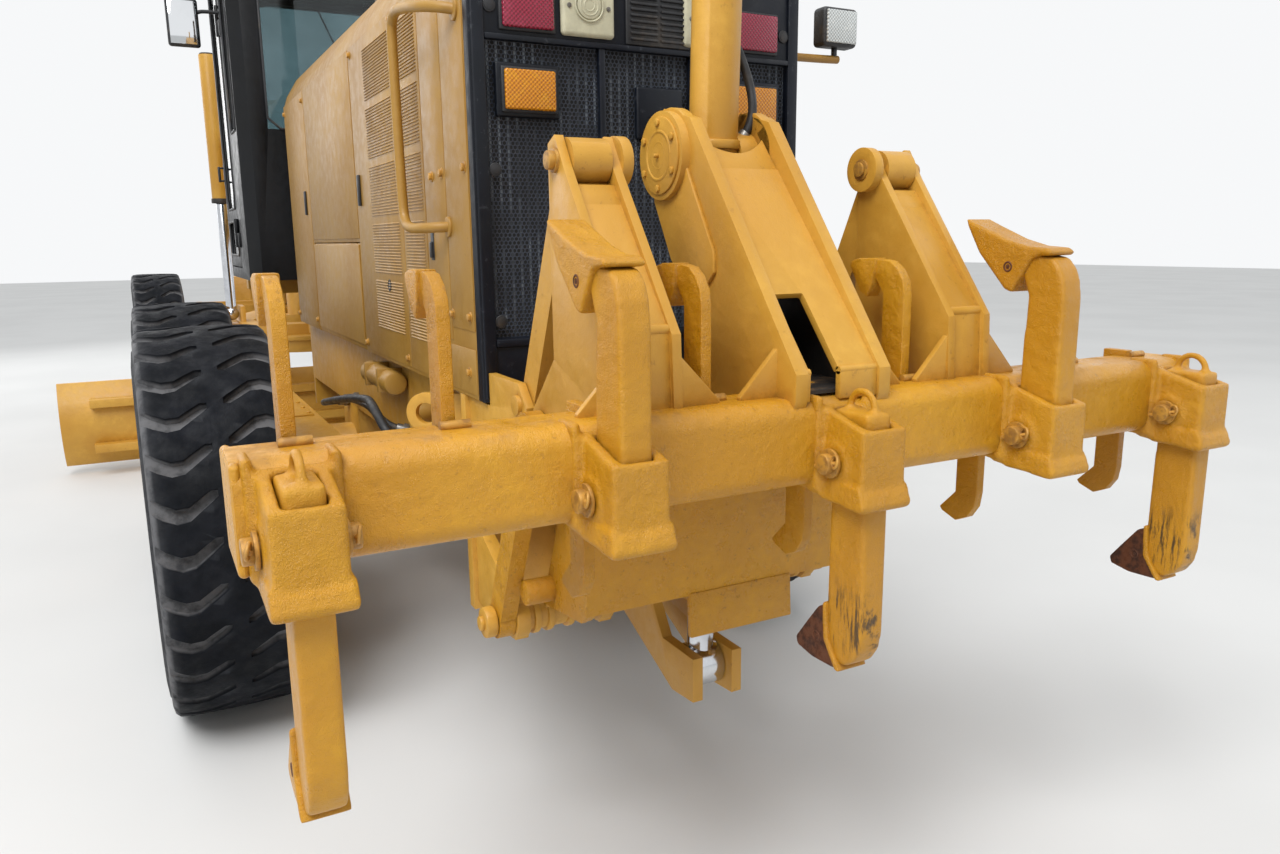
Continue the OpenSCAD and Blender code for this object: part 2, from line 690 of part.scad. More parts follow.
module front_axle() color([0.87, 0.65, 0.2]) {
    difference() {
        union() {
            span(wheelbase - 110, wheelbase + 110, -lean_y + 90, lean_y - 90, 600, 780);
            bar_x(120, wheelbase - 150, wheelbase + 150, 0, rock_z);
            span(wheelbase - 110, wheelbase + 110, -120, 120, 700, rock_z);
            both() for (s = [-1, 1]) span(wheelbase + s * 90 - 20, wheelbase + s * 90 + 20, lean_y - 92,
                lean_y + 30, lean_z - 60, lean_z + 60);
        }
        bar_x(50 + fit, wheelbase - 160, wheelbase + 160, 0, rock_z);
        both() bar_x(30 + fit, wheelbase - 120, wheelbase + 120, lean_y, lean_z);
    }
    both() bar_x(30, wheelbase - 115, wheelbase + 115, lean_y, lean_z);
    difference() {
        bar_y(62, steer_x, steer_z, -330, 330);
        bar_y(30 + fit, steer_x, steer_z, -331, 331);
    }
}

module lean(side) color([0.87, 0.65, 0.2]) mirror([0, side > 0 ? 0 : 1, 0]) difference() {
    union() {
        bar_x(50, wheelbase - 66, wheelbase + 66, lean_y, lean_z);
        span(wheelbase - 66, wheelbase + 66, lean_y, king_y, lean_z - 50, lean_z + 50);
        translate([wheelbase, king_y, lean_z - 90]) cylinder(r = 66, h = 180, $fn = 48);
        side_plate([[wheelbase - 30, lean_z + 40], [wheelbase + 30, lean_z + 40],
                    [wheelbase + 30, lean_z + lean_bar_h + 30], [wheelbase - 30, lean_z + lean_bar_h + 30]],
            lean_y - 25, lean_y + 25);
    }
    bar_x(30 + fit, wheelbase - 70, wheelbase + 70, lean_y, lean_z);
    bar_x(18 + fit, wheelbase - 70, wheelbase + 70, lean_y, lean_z + lean_bar_h);
    translate([wheelbase, king_y, lean_z - 100]) cylinder(r = 32 + fit, h = 200, $fn = 48);
}

module lean_bar() color([0.87, 0.65, 0.2]) {
    for (s = [-1, 1]) difference() {
        span(wheelbase + s * 45 - 12, wheelbase + s * 45 + 12, -lean_y - 30, lean_y + 30,
            lean_z + lean_bar_h - 25, lean_z + lean_bar_h + 25);
        both() bar_x(18 + fit, wheelbase - 70, wheelbase + 70, lean_y, lean_z + lean_bar_h);
    }
    both() bar_x(18, wheelbase - 60, wheelbase + 60, lean_y, lean_z + lean_bar_h);
}

module steer_rod() color([0.7, 0.7, 0.72]) bar_y(30, steer_x, steer_z, -560, 560);

module knuckle(side) color([0.87, 0.65, 0.2]) mirror([0, side > 0 ? 0 : 1, 0]) {
    for (z = [lean_z - 92 - 45, lean_z + 92]) difference() {
        union() {
            translate([wheelbase, king_y, z]) cylinder(r = 60, h = 45, $fn = 48);
            span(wheelbase - 60, wheelbase + 60, king_y, king_y + 76, z, z + 45);
        }
        translate([wheelbase, king_y, z - 1]) cylinder(r = 32 + fit, h = 47, $fn = 48);
    }
    span(wheelbase - 60, wheelbase + 60, king_y + 76, king_y + 106, lean_z - 137, lean_z + 137);
    span(wheelbase - 200, wheelbase - 40, king_y - 60, king_y, lean_z - 137, lean_z - 107);
    translate([wheelbase, king_y, lean_z - 130]) cylinder(r = 32, h = 260, $fn = 48);
    bar_y(spindle_r, wheelbase, axle_z, king_y + 106, half_track + spindle_out);
}

// Drawbar, circle and blade

carrier_z = circle_z + circle_t + fit;
hole_r = 440;
bar_h = 110;
bar_half_w = 560;

module drawbar() color([0.87, 0.65, 0.2]) {
    difference() {
        union() {
            translate([circle_x, 0, carrier_z]) cylinder(r = circle_r + 25, h = 30, $fn = 96);
            translate([0, 0, carrier_z]) linear_extrude(height = bar_h) polygon([
                [ball_x - 130, ball_half_w], [circle_x + 500, bar_half_w], [circle_x - 600, bar_half_w],
                [circle_x - 600, -bar_half_w], [circle_x + 500, -bar_half_w], [ball_x - 130, -ball_half_w]
            ]);
            bar_y(75, ball_x, ball_z, -ball_half_w, ball_half_w);
            span(ball_x - 200, ball_x, -ball_half_w, ball_half_w, ball_z - 40, ball_z + 50);
        }
        bar_y(ball_pin_r + fit, ball_x, ball_z, -ball_half_w - 1, ball_half_w + 1);
        translate([0, 0, carrier_z - 1]) linear_extrude(height = bar_h + 10) polygon([
            [ball_x - 420, 0], [circle_x + 640, 340], [circle_x + 640, -340]
        ]);
        translate([circle_x, 0, carrier_z - 1]) cylinder(r = hole_r, h = bar_h + 10, $fn = 96);
    }
    translate([circle_x + 540, 0, carrier_z + bar_h]) cylinder(r = 110, h = 220, $fn = 48);
    both() difference() {
        span(lift_x - 130, lift_x + 130, ram_y - 90, ram_y + 90, carrier_z + 30, lift_pin_z + 60);
        span(lift_x - 131, lift_x + 131, ram_y - 56, ram_y + 56, lift_pin_z - 78, lift_pin_z + 61);
    }
    for (a = [45, 135, 225, 315]) translate([circle_x, 0, 0]) rotate([0, 0, a]) {
        span(circle_r + 3, circle_r + 40, -60, 60, circle_z - 30, carrier_z);
        span(circle_r - 40, circle_r + 3, -60, 60, circle_z - 30, circle_z - fit);
    }
}

arm_y = 440;
arm_t = 40;
tip_x = circle_x - 500;
tip_z = 330;
tip_pin_r = 35;

module blade_circle() color([0.8, 0.6, 0.2]) {
    difference() {
        translate([circle_x, 0, circle_z]) cylinder(r = circle_r, h = circle_t, $fn = 96);
        translate([circle_x, 0, circle_z - 1]) cylinder(r = hole_r, h = circle_t + 2, $fn = 96);
    }
    both() difference() {
        side_plate([[tip_x, circle_z], [tip_x + 360, circle_z], [tip_x + 90, circle_z - 150],
                    [tip_x + 40, tip_z - 50], [tip_x - 50, tip_z - 50], [tip_x - 90, circle_z - 250]],
            arm_y, arm_y + arm_t);
        bar_y(tip_pin_r + fit, tip_x, tip_z, arm_y - 1, arm_y + arm_t + 1);
    }
}

rail_back = edge_x - 220;
slide_z = [[170, 230], [500, 560]];

module blade_carrier() color([0.8, 0.6, 0.2]) {
    both() difference() {
        side_plate([[tip_x - 50, tip_z - 60], [rail_back - 20, 140], [rail_back + 40, 140],
                    [rail_back + 40, 590], [rail_back - 20, 590], [tip_x - 50, tip_z + 60]],
            arm_y - 62, arm_y - 2);
        for (z = slide_z) span(rail_back, rail_back + 60, arm_y - 63, arm_y, z[0] - fit, z[1] + fit);
        span(rail_back + 20, rail_back + 60, arm_y - 63, arm_y, 200, 530);
    }
    both() bar_y(tip_pin_r, tip_x, tip_z, arm_y - 62, arm_y + arm_t + 4);
    span(tip_x - 40, tip_x + 40, -arm_y + 62, arm_y - 62, tip_z - 30, tip_z + 30);
}

module moldboard() {
    arc_x = edge_x + sqrt(blade_r * blade_r - blade_h * blade_h / 4);
    arc_z = blade_gap + blade_h / 2;
    color([0.87, 0.65, 0.2]) {
        translate([0, blade_l / 2, 0]) rotate([90, 0, 0]) linear_extrude(height = blade_l) intersection() {
            difference() {
                translate([arc_x, arc_z]) circle(r = blade_r + blade_t, $fn = 128);
                translate([arc_x, arc_z]) circle(r = blade_r, $fn = 128);
            }
            translate([edge_x - blade_r, blade_gap]) square([blade_r, blade_h]);
        }
        for (z = slide_z) side_plate([[rail_back + fit, z[0]], [edge_x - 120, z[0]], [edge_x - 120, z[1]],
            [rail_back + fit, z[1]]], -blade_l / 2 + 200, blade_l / 2 - 200);
    }
}

// Ripper

tower_in = link_y - link_w / 2 - side_gap - tower_t;
tower_out = link_y + link_w / 2 + side_gap;
// The lower links run outside the towers
low_in = tower_out + tower_t + side_gap;
low_t = 42;
low_out = low_in + low_t;
low_ear_t = 36;
low_ear_y = [202, low_in - side_gap - low_ear_t];

module upper_links() color([0.87, 0.65, 0.2]) both() difference() {
    union() {
        strut([up_front_x, up_front_z], [up_x, up_z], 76, link_y - link_w / 2, link_y + link_w / 2, 32);
        bar_y(link_eye_r - 6, up_front_x, up_front_z, link_y - link_w / 2, link_y + link_w / 2);
        bar_y(link_eye_r - 6, up_x, up_z, link_y - link_w / 2, link_y + link_w / 2);
    }
    bar_y(link_pin_r + fit, up_front_x, up_front_z, link_y - 50, link_y + 50);
    bar_y(link_pin_r + fit, up_x, up_z, link_y - 50, link_y + 50);
}

module lower_link() color([0.87, 0.65, 0.2]) both() difference() {
    union() {
        strut([low_front_x, low_front_z], [low_x, low_z], 76, low_in, low_out, 32);
        bar_y(link_eye_r - 6, low_front_x, low_front_z, low_in, low_out);
        bar_y(link_eye_r - 6, low_x, low_z, low_in, low_out);
    }
    bar_y(link_pin_r + fit, low_front_x, low_front_z, low_in - 1, low_out + 1);
    bar_y(link_pin_r + fit, low_x, low_z, low_in - 1, low_out + 1);
}

// Where the towers stand on the beam, and where their rear edges bend
foot_x = rbeam_x - 117;
bend_x = foot_x + 8;
bend_z = rbeam_top + 141;
side_tower = [
    [up_x + 35, up_z + 35], [up_x, up_z + 50], [up_x - 45, up_z - 20], [bend_x, bend_z], [foot_x, rbeam_top - 2],
    [foot_x, rbeam_z + 60], [rbeam_x, rbeam_z], [low_x - 30, low_z - 55], [low_x + 50, low_z - 30],
    [low_x + 50, low_z + 40], [up_x + 35, rbeam_top + 68]
];
centre_foot_x = foot_x - 56;
centre_bend_z = rbeam_top + 52;
centre_tower = [
    [trunnion_x + 65, trunnion_z - 101], [trunnion_x - 20, trunnion_z - 247], [trunnion_x - 173, rbeam_top],
    [rbeam_x + 25, rbeam_z + 20], [foot_x, rbeam_z + 20], [centre_foot_x, rbeam_top],
    [centre_foot_x, centre_bend_z], [trunnion_x - 96, trunnion_z + 76], [trunnion_x + 20, trunnion_z + 108],
    [trunnion_x + 90, trunnion_z + 60], [trunnion_x + 108, trunnion_z]
];
centre_in = 92;
centre_out = 122;
trunnion_cap_r = 100;

module beam_outline(grow) translate([rbeam_x - rbeam_w / 2, 0, rbeam_z + rbeam_h / 2]) rotate([90, 0, 0])
    linear_extrude(height = rbeam_l, center = true) round_rect(rbeam_w + 2 * grow, rbeam_h + 2 * grow, 40 + grow);

// The slots that hold the scarifier shanks run down through the front of the beam
module ripper_beam() color([0.87, 0.65, 0.2]) difference() {
    beam_outline(0);
    beam_outline(-rbeam_t);
    for (i = [-4 : 4]) translate([scarifier_front, i * scarifier_pitch, 0])
        span(-scarifier_d - fit, scarifier_d, -tooth_w / 2 - fit, tooth_w / 2 + fit, rbeam_z - 1, rbeam_top + 1);
}

// A triangular plate on the beam that props a tower, from y towards side
module gusset(y, side) rear_plate([[y, rbeam_top - 2], [y + side * gusset_w, rbeam_top - 2],
    [y + side * gusset_w, rbeam_top + 6], [y, rbeam_top + gusset_h]], foot_x + 8, foot_x + 8 + gusset_t);

gusset_w = 88;
gusset_h = 98;
gusset_t = 14;
hub_y = tower_in - 24;

module ripper_towers() color([0.87, 0.65, 0.2]) difference() {
    union() {
        both() {
            for (y = [tower_in, tower_out]) side_plate(side_tower, y, y + tower_t);
            strut([up_x - 64, up_z - 86], [bend_x + 18, bend_z], 16, tower_in + tower_t, tower_out);
            bar_y(link_eye_r, up_x, up_z, hub_y, tower_in);
            gusset(tower_out + tower_t, 1);
            gusset(tower_in, -1);
            gusset(centre_out, 1);
        }
        both() side_plate(centre_tower, centre_in, centre_out);
        strut([trunnion_x - 128, trunnion_z - 39], [centre_foot_x + 21, centre_bend_z], 16, -centre_in, centre_in);
        both() bar_y(trunnion_cap_r, trunnion_x, trunnion_z, centre_out, centre_out + 22);
    }
    beam_outline(0);
    both() {
        bar_y(link_pin_r + fit, up_x, up_z, hub_y - 1, tower_out + tower_t + 1);
        bar_y(link_pin_r + fit, low_x, low_z, tower_in - 1, tower_out + tower_t + 1);
        bar_y(60 + fit, trunnion_x, trunnion_z, 90, 130);
    }
}

// A pocket wraps the rear of the beam, and its mouth stands out round the shank
module ripper_pockets() color([0.87, 0.65, 0.2]) for (i = [-2 : 2]) translate([0, i * pocket_pitch, 0])
    difference() {
        union() {
            side_plate([[rbeam_back + 28, rbeam_top - 6], [rbeam_back - 20, rbeam_top - 22],
                        [pocket_back + 4, rbeam_top - 50], [pocket_back + 4, rbeam_z + 20],
                        [rbeam_back + 30, rbeam_z + 20], [rbeam_back + 30, rbeam_z + 60],
                        [rbeam_back + 28, rbeam_top - 60]], -pocket_w / 2, pocket_w / 2);
            side_plate([[pocket_back, rbeam_z + 8], [pocket_back, rbeam_z - 29], [rbeam_back + 30, rbeam_z - 16],
                        [rbeam_back + 30, rbeam_z + 20], [pocket_back + 4, rbeam_z + 20]],
                -pocket_w / 2 - pocket_lip, pocket_w / 2 + pocket_lip);
            bar_y(38, shank_pin_x, shank_pin_z, -boss_y, boss_y);
        }
        span(shank_back - 2, rbeam_back - 1, -shank_w / 2 - 2, shank_w / 2 + 2, rbeam_z - 100, rbeam_top + 100);
        beam_outline(0);
        bar_y(shank_pin_r + fit, shank_pin_x, shank_pin_z, -pocket_w, pocket_w);
    }

// A ripper shank's side view. Heights are from its pin towards its nose
shank_side = [
    [shank_front, -126], [shank_back, -126], [shank_back, 328], [shank_back + 8, 368], [shank_back + 30, 396],
    [shank_front + 28, 435], [shank_front + 62, 405], [shank_front + 10, 357], [shank_front - 10, 307],
    [shank_front - 4, 200]
];
// A worn tip in front of a shank's nose
tip_side = [
    [shank_front + 28.3, 436], [shank_front + 62.4, 405.6], [shank_front + 152, 466], [shank_front + 120, 485]
];
// A long tip that straddles the nose of a parked shank
cap_side = [
    [shank_back + 36, 406], [shank_front + 172, 479], [shank_front + 160, 458], [shank_front + 48, 318],
    [shank_front + 22, 322]
];
nose_cut = [
    [shank_back + 20, 200], [shank_back + 20, 386], [shank_back + 30, 396.4], [shank_front + 28.1, 435.4],
    [shank_front + 62.5, 405.1], [shank_front + 10.4, 356.8], [shank_front - 4, 318], [shank_front - 4, 200]
];

// Stands a table of points up from the shank pin, or hangs it down
function from_pin(points, down) = [for (p = points) [p[0], shank_pin_z + (down ? -p[1] : p[1])]];

module ripper_shanks() color([0.87, 0.65, 0.2]) for (i = [0 : 4]) translate([0, (2 - i) * pocket_pitch, 0])
    difference() {
        union() {
            side_plate(from_pin(shank_side, SHANKS[i] == 1), -shank_w / 2, shank_w / 2);
            if (SHANKS[i] == 1) lifting_eye();
        }
        bar_y(shank_pin_r + fit, shank_pin_x, shank_pin_z, -pocket_w, pocket_w);
    }

// A half ring on top of a shank
module lifting_eye() {
    x = (shank_front + shank_back) / 2;
    z = shank_pin_z + 126;
    difference() {
        bar_y(42, x, z, -7, 7);
        bar_y(28, x, z, -8, 8);
        span(x - 43, x + 43, -8, 8, z - 43, z);
    }
}

module shank_tips() color([0.5, 0.33, 0.16]) for (i = [0 : 4]) translate([0, (2 - i) * pocket_pitch, 0]) {
    if (SHANKS[i] == 1) side_plate(from_pin(tip_side, true), -40, 40);
    else difference() {
        side_plate(from_pin(cap_side, false), -40, 40);
        side_plate(from_pin(nose_cut, false), -shank_w / 2 - fit, shank_w / 2 + fit);
    }
}

// A scarifier shank's side view, forward and up from the foot of its front edge
scarifier_up = [
    [-scarifier_d, -16], [0, -16], [0, 370], [26, 404], [54, 390], [72, 376], [106, 440], [100, 446], [4, 452],
    [-24, 448], [-50, 430], [-68, 404], [-scarifier_d, 372]
];
scarifier_down = [
    [-scarifier_d, 200], [0, 200], [0, -130], [50, -180], [40, -192], [-8, -208], [-46, -190], [-68, -158],
    [-scarifier_d, -120]
];

module scarifier_shanks() color([0.87, 0.65, 0.2])
    for (i = [0 : 8]) translate([scarifier_front, (4 - i) * scarifier_pitch, rbeam_z])
        side_plate(SCARIFIERS[i] == 1 ? scarifier_down : scarifier_up, -tooth_w / 2, tooth_w / 2);

// The pins, and the short round bars that stand behind the scarifier shanks on the beam
module ripper_pins() color([0.75, 0.6, 0.25]) {
    for (i = [-2 : 2])
        bar_y(shank_pin_r, shank_pin_x, shank_pin_z, i * pocket_pitch - boss_y - 8, i * pocket_pitch + boss_y + 8);
    difference() {
        for (i = [-4 : 4]) bar_y(keeper_r, scarifier_front - scarifier_d - keeper_r - fit, rbeam_top + 5,
            i * scarifier_pitch - 34, i * scarifier_pitch + 20);
        beam_outline(0);
    }
    both() bar_y(link_pin_r, up_x, up_z, hub_y - 4, tower_out + tower_t + 6);
    both() bar_y(link_pin_r, low_x, low_z, tower_in - 6, low_out + 12);
}

keeper_r = 9;

module along_ram() translate([trunnion_x, 0, trunnion_z]) rotate([0, 180 - ram_deg, 0]) children();

module ripper_barrel() color([0.87, 0.65, 0.2]) {
    difference() {
        along_ram() translate([0, 0, -ram_top]) cylinder(r = ram_r, h = ram_top + ram_low, $fn = 64);
        along_ram() translate([0, 0, 20 - ram_top]) cylinder(r = rod_r + fit, h = ram_top + ram_low, $fn = 48);
        bar_y(62, trunnion_x, trunnion_z, -92, -91);
    }
    both() difference() {
        bar_y(60, trunnion_x, trunnion_z, ram_r - 15, 122);
        along_ram() translate([0, 0, -100]) cylinder(r = ram_r - 10, h = 200, $fn = 48);
    }
}

module ripper_rod() color([0.7, 0.7, 0.72]) {
    length = norm([ram_eye_x - trunnion_x, ram_eye_z - trunnion_z]);
    along_ram() translate([0, 0, ram_low - ram_engage])
        cylinder(r = rod_r, h = length - ram_low + ram_engage - 40, $fn = 48);
    bar_y(60, ram_eye_x, ram_eye_z, -eye_half_w, eye_half_w);
}

// Placing: the machine's own origin is the middle of its box on the ground
module place() translate([-x_mid, 0, 0]) children();

place() rear_frame();
place() rear_axle();
place() ripper_mount();
place() hood();
place() rear_grille();
place() radiator_core();
place() engine_block();
place() side_tanks();
place() rear_lamps();
place() exhaust_stack();
place() grab_rails();
place() front_frame();
place() cab_shell();
place() cab_glass();
place() seat_and_console();
place() mirrors();
place() lift_saddle();
place() lift_barrels();
place() lift_rods();
place() door(1);  // door_left
place() door(-1);  // door_right
place() tandem(1);  // tandem_left
place() tandem(-1);  // tandem_right
place() tyre(-tandem_half, 1);  // tyre_left_1
place() tyre(tandem_half, 1);  // tyre_left_2
place() tyre(-tandem_half, -1);  // tyre_right_1
place() tyre(tandem_half, -1);  // tyre_right_2
place() rim(-tandem_half, 1);  // rim_left_1
place() rim(tandem_half, 1);  // rim_left_2
place() rim(-tandem_half, -1);  // rim_right_1
place() rim(tandem_half, -1);  // rim_right_2
place() front_axle();
place() lean(1);  // lean_left
place() lean(-1);  // lean_right
place() lean_bar();
place() steer_rod();
place() knuckle(1);  // knuckle_left
place() knuckle(-1);  // knuckle_right
place() tyre(wheelbase, 1);  // tyre_front_left
place() tyre(wheelbase, -1);  // tyre_front_right
place() rim(wheelbase, 1);  // rim_front_left
place() rim(wheelbase, -1);  // rim_front_right
place() drawbar();
place() blade_circle();
place() blade_carrier();
place() moldboard();
place() upper_links();
place() lower_link();
place() ripper_beam();
place() ripper_towers();
place() ripper_pockets();
place() ripper_shanks();
place() shank_tips();
place() scarifier_shanks();
place() ripper_pins();
place() ripper_barrel();
place() ripper_rod();
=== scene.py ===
"""Looks of a motor grader with a rear ripper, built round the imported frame.

Every size is in millimetres in the machine's own drawing, where X = 0 is the middle of the
rear axles, Y = 0 is the middle of the machine and Z = 0 is the ground.
"""

import logging
import math
from dataclasses import dataclass
from enum import Enum

import bpy
from mathutils import Matrix, Vector


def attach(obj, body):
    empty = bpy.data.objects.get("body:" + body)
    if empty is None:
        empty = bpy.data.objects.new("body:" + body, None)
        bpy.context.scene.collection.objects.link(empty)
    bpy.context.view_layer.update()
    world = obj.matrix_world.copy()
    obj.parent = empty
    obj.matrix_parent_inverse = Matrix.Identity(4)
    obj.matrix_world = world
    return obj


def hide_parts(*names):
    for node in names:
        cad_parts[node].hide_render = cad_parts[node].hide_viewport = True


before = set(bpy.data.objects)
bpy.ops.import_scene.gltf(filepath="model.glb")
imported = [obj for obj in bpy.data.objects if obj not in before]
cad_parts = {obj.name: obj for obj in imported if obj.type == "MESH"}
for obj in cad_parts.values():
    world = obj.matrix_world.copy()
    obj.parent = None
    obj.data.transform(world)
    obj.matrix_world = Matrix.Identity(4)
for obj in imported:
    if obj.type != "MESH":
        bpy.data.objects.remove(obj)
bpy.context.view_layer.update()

LOG = logging.getLogger("grader")
MIDDLE_X = 1976
OTHER_SIDE = Matrix.Scale(-1, 4, (0, 1, 0))

Colour = tuple[float, float, float]
Point = tuple[float, float, float]
Piece = bpy.types.Object
Socket = bpy.types.NodeSocket


class Slot(Enum):
    """The material slots of the record."""

    YELLOW = "yellow_paint"
    BLACK = "black_paint"
    TYRE = "tyre"
    CAST = "cast"
    STEEL = "steel"
    WEAR = "wear_steel"
    LAMP = "lamp"
    GLASS = "glass"
    SEAT = "seat"


class Side(Enum):
    """Left and right, with the sign of Y."""

    LEFT = 1
    RIGHT = -1


class Across(Enum):
    """The direction a flat plate's thickness runs in."""

    X = 0
    Y = 1
    Z = 2


def place(x: float, y: float, z: float) -> Vector:
    """Turn a point of the drawing into the row frame.

    Args:
        x: millimetres forward of the rear axles.
        y: millimetres to the left.
        z: millimetres above the ground.

    Returns:
        The point in metres.
    """
    return Vector(((x - MIDDLE_X) / 1000, y / 1000, z / 1000))


def drawn(spot: Vector) -> Vector:
    """Turn a point in metres back into the drawing's millimetres."""
    return spot * 1000 + Vector((MIDDLE_X, 0, 0))


def linear(colour: Colour) -> tuple[float, float, float, float]:
    """Turn a colour as seen, 0 to 255, into the renderer's own light values.

    Args:
        colour: red, green and blue from 0 to 255.

    Returns:
        Red, green, blue and 1.
    """
    parts = [c / 255 for c in colour]
    return tuple(p / 12.92 if p <= 0.04045 else ((p + 0.055) / 1.055) ** 2.4 for p in parts) + (1,)


class Recipe:
    """The nodes of one material, added and joined one after another."""

    def __init__(self, name: str) -> None:
        """Start a material with its shader and its object coordinates.

        Args:
            name: the material's name.
        """
        self.material = bpy.data.materials.new(name)
        self.material.use_nodes = True
        self.tree = self.material.node_tree
        self.shader = next(n for n in self.tree.nodes if n.type == "BSDF_PRINCIPLED")
        self.coords = self.add("ShaderNodeTexCoord").outputs["Object"]

    def add(self, kind: str, **settings: object) -> bpy.types.Node:
        """Add a node and set its properties.

        Args:
            kind: the node's type.
            settings: its properties by name.

        Returns:
            The node.
        """
        node = self.tree.nodes.new(kind)
        for key, value in settings.items():
            setattr(node, key, value)
        return node

    def feed(self, target: Socket, value: object) -> None:
        """Join a socket to another, or set its value.

        Args:
            target: the input.
            value: an output socket, a number or a colour.
        """
        if isinstance(value, bpy.types.NodeSocket):
            self.tree.links.new(value, target)
        else:
            target.default_value = value

    def noise(self, scale: float, detail: float = 3.0, rough: float = 0.5, coords: Socket | None = None) -> Socket:
        """A cloudy pattern.

        Args:
            scale: how often it changes in a metre.
            detail: how many finer layers it has.
            rough: how strong they are.
            coords: where it is read, the object's own place if nothing is given.

        Returns:
            The pattern, 0 to 1.
        """
        node = self.add("ShaderNodeTexNoise")
        self.feed(node.inputs["Vector"], coords or self.coords)
        node.inputs["Scale"].default_value = scale
        node.inputs["Detail"].default_value = detail
        node.inputs["Roughness"].default_value = rough
        return node.outputs[0]

    def ramp(self, value: Socket, low: float, high: float, bottom: float = 0.0, top: float = 1.0) -> Socket:
        """Spread a part of a value out.

        Args:
            value: the value.
            low: where the part starts.
            high: where it ends.
            bottom: what low becomes.
            top: what high becomes.

        Returns:
            The spread value.
        """
        node = self.add("ShaderNodeMapRange", interpolation_type="SMOOTHSTEP")
        self.feed(node.inputs[0], value)
        for i, number in enumerate((low, high, bottom, top), start=1):
            node.inputs[i].default_value = number
        return node.outputs[0]

    def maths(self, kind: str, first: object, second: object = 0.0) -> Socket:
        """One sum on numbers.

        Args:
            kind: the sum.
            first: its first number.
            second: its second one.

        Returns:
            The result.
        """
        node = self.add("ShaderNodeMath", operation=kind)
        self.feed(node.inputs[0], first)
        self.feed(node.inputs[1], second)
        return node.outputs[0]

    def split(self, value: Socket) -> bpy.types.NodeOutputs:
        """Part a vector into X, Y and Z.

        Args:
            value: the vector.

        Returns:
            Its three parts.
        """
        node = self.add("ShaderNodeSeparateXYZ")
        self.feed(node.inputs[0], value)
        return node.outputs

    def vector(self, kind: str, first: object, second: object = (0.0, 0.0, 0.0)) -> bpy.types.Node:
        """One sum on vectors.

        Args:
            kind: the sum.
            first: its first vector.
            second: its second one.

        Returns:
            Its node, whose first output is a vector and whose second is a number.
        """
        node = self.add("ShaderNodeVectorMath", operation=kind)
        self.feed(node.inputs[0], first)
        self.feed(node.inputs[1], second)
        return node

    def blend(self, share: object, first: object, second: object) -> Socket:
        """Mix two colours.

        Args:
            share: how much of the second, 0 to 1.
            first: the first colour.
            second: the second one.

        Returns:
            The mixed colour.
        """
        node = self.add("ShaderNodeMix", data_type="RGBA")
        self.feed(node.inputs[0], share)
        self.feed(node.inputs[6], first)
        self.feed(node.inputs[7], second)
        return node.outputs[2]

    def bump(self, height: Socket, depth: float, before: Socket | None = None) -> Socket:
        """Raise a surface by a pattern.

        Args:
            height: the pattern, 0 to 1.
            depth: metres from 0 to 1.
            before: a normal that is already raised.

        Returns:
            The new normal.
        """
        node = self.add("ShaderNodeBump")
        node.inputs["Distance"].default_value = depth
        self.feed(node.inputs["Height"], height)
        if before is not None:
            self.feed(node.inputs["Normal"], before)
        return node.outputs[0]

    def done(self, colour: object, roughness: object, normal: Socket | None = None, metal: float = 0.0,
             mirror: float = 0.5) -> bpy.types.Material:
        """Join the last colour, roughness and normal to the shader.

        Args:
            colour: the base colour.
            roughness: how matt it is.
            normal: the raised normal.
            metal: 1 for bare metal.
            mirror: how strongly the surface mirrors, 0.5 for common plastics and paints.

        Returns:
            The material.
        """
        self.shader.inputs["Specular IOR Level"].default_value = mirror
        self.feed(self.shader.inputs["Base Color"], colour)
        self.feed(self.shader.inputs["Roughness"], roughness)
        if normal is not None:
            self.feed(self.shader.inputs["Normal"], normal)
        self.shader.inputs["Metallic"].default_value = metal
        return self.material


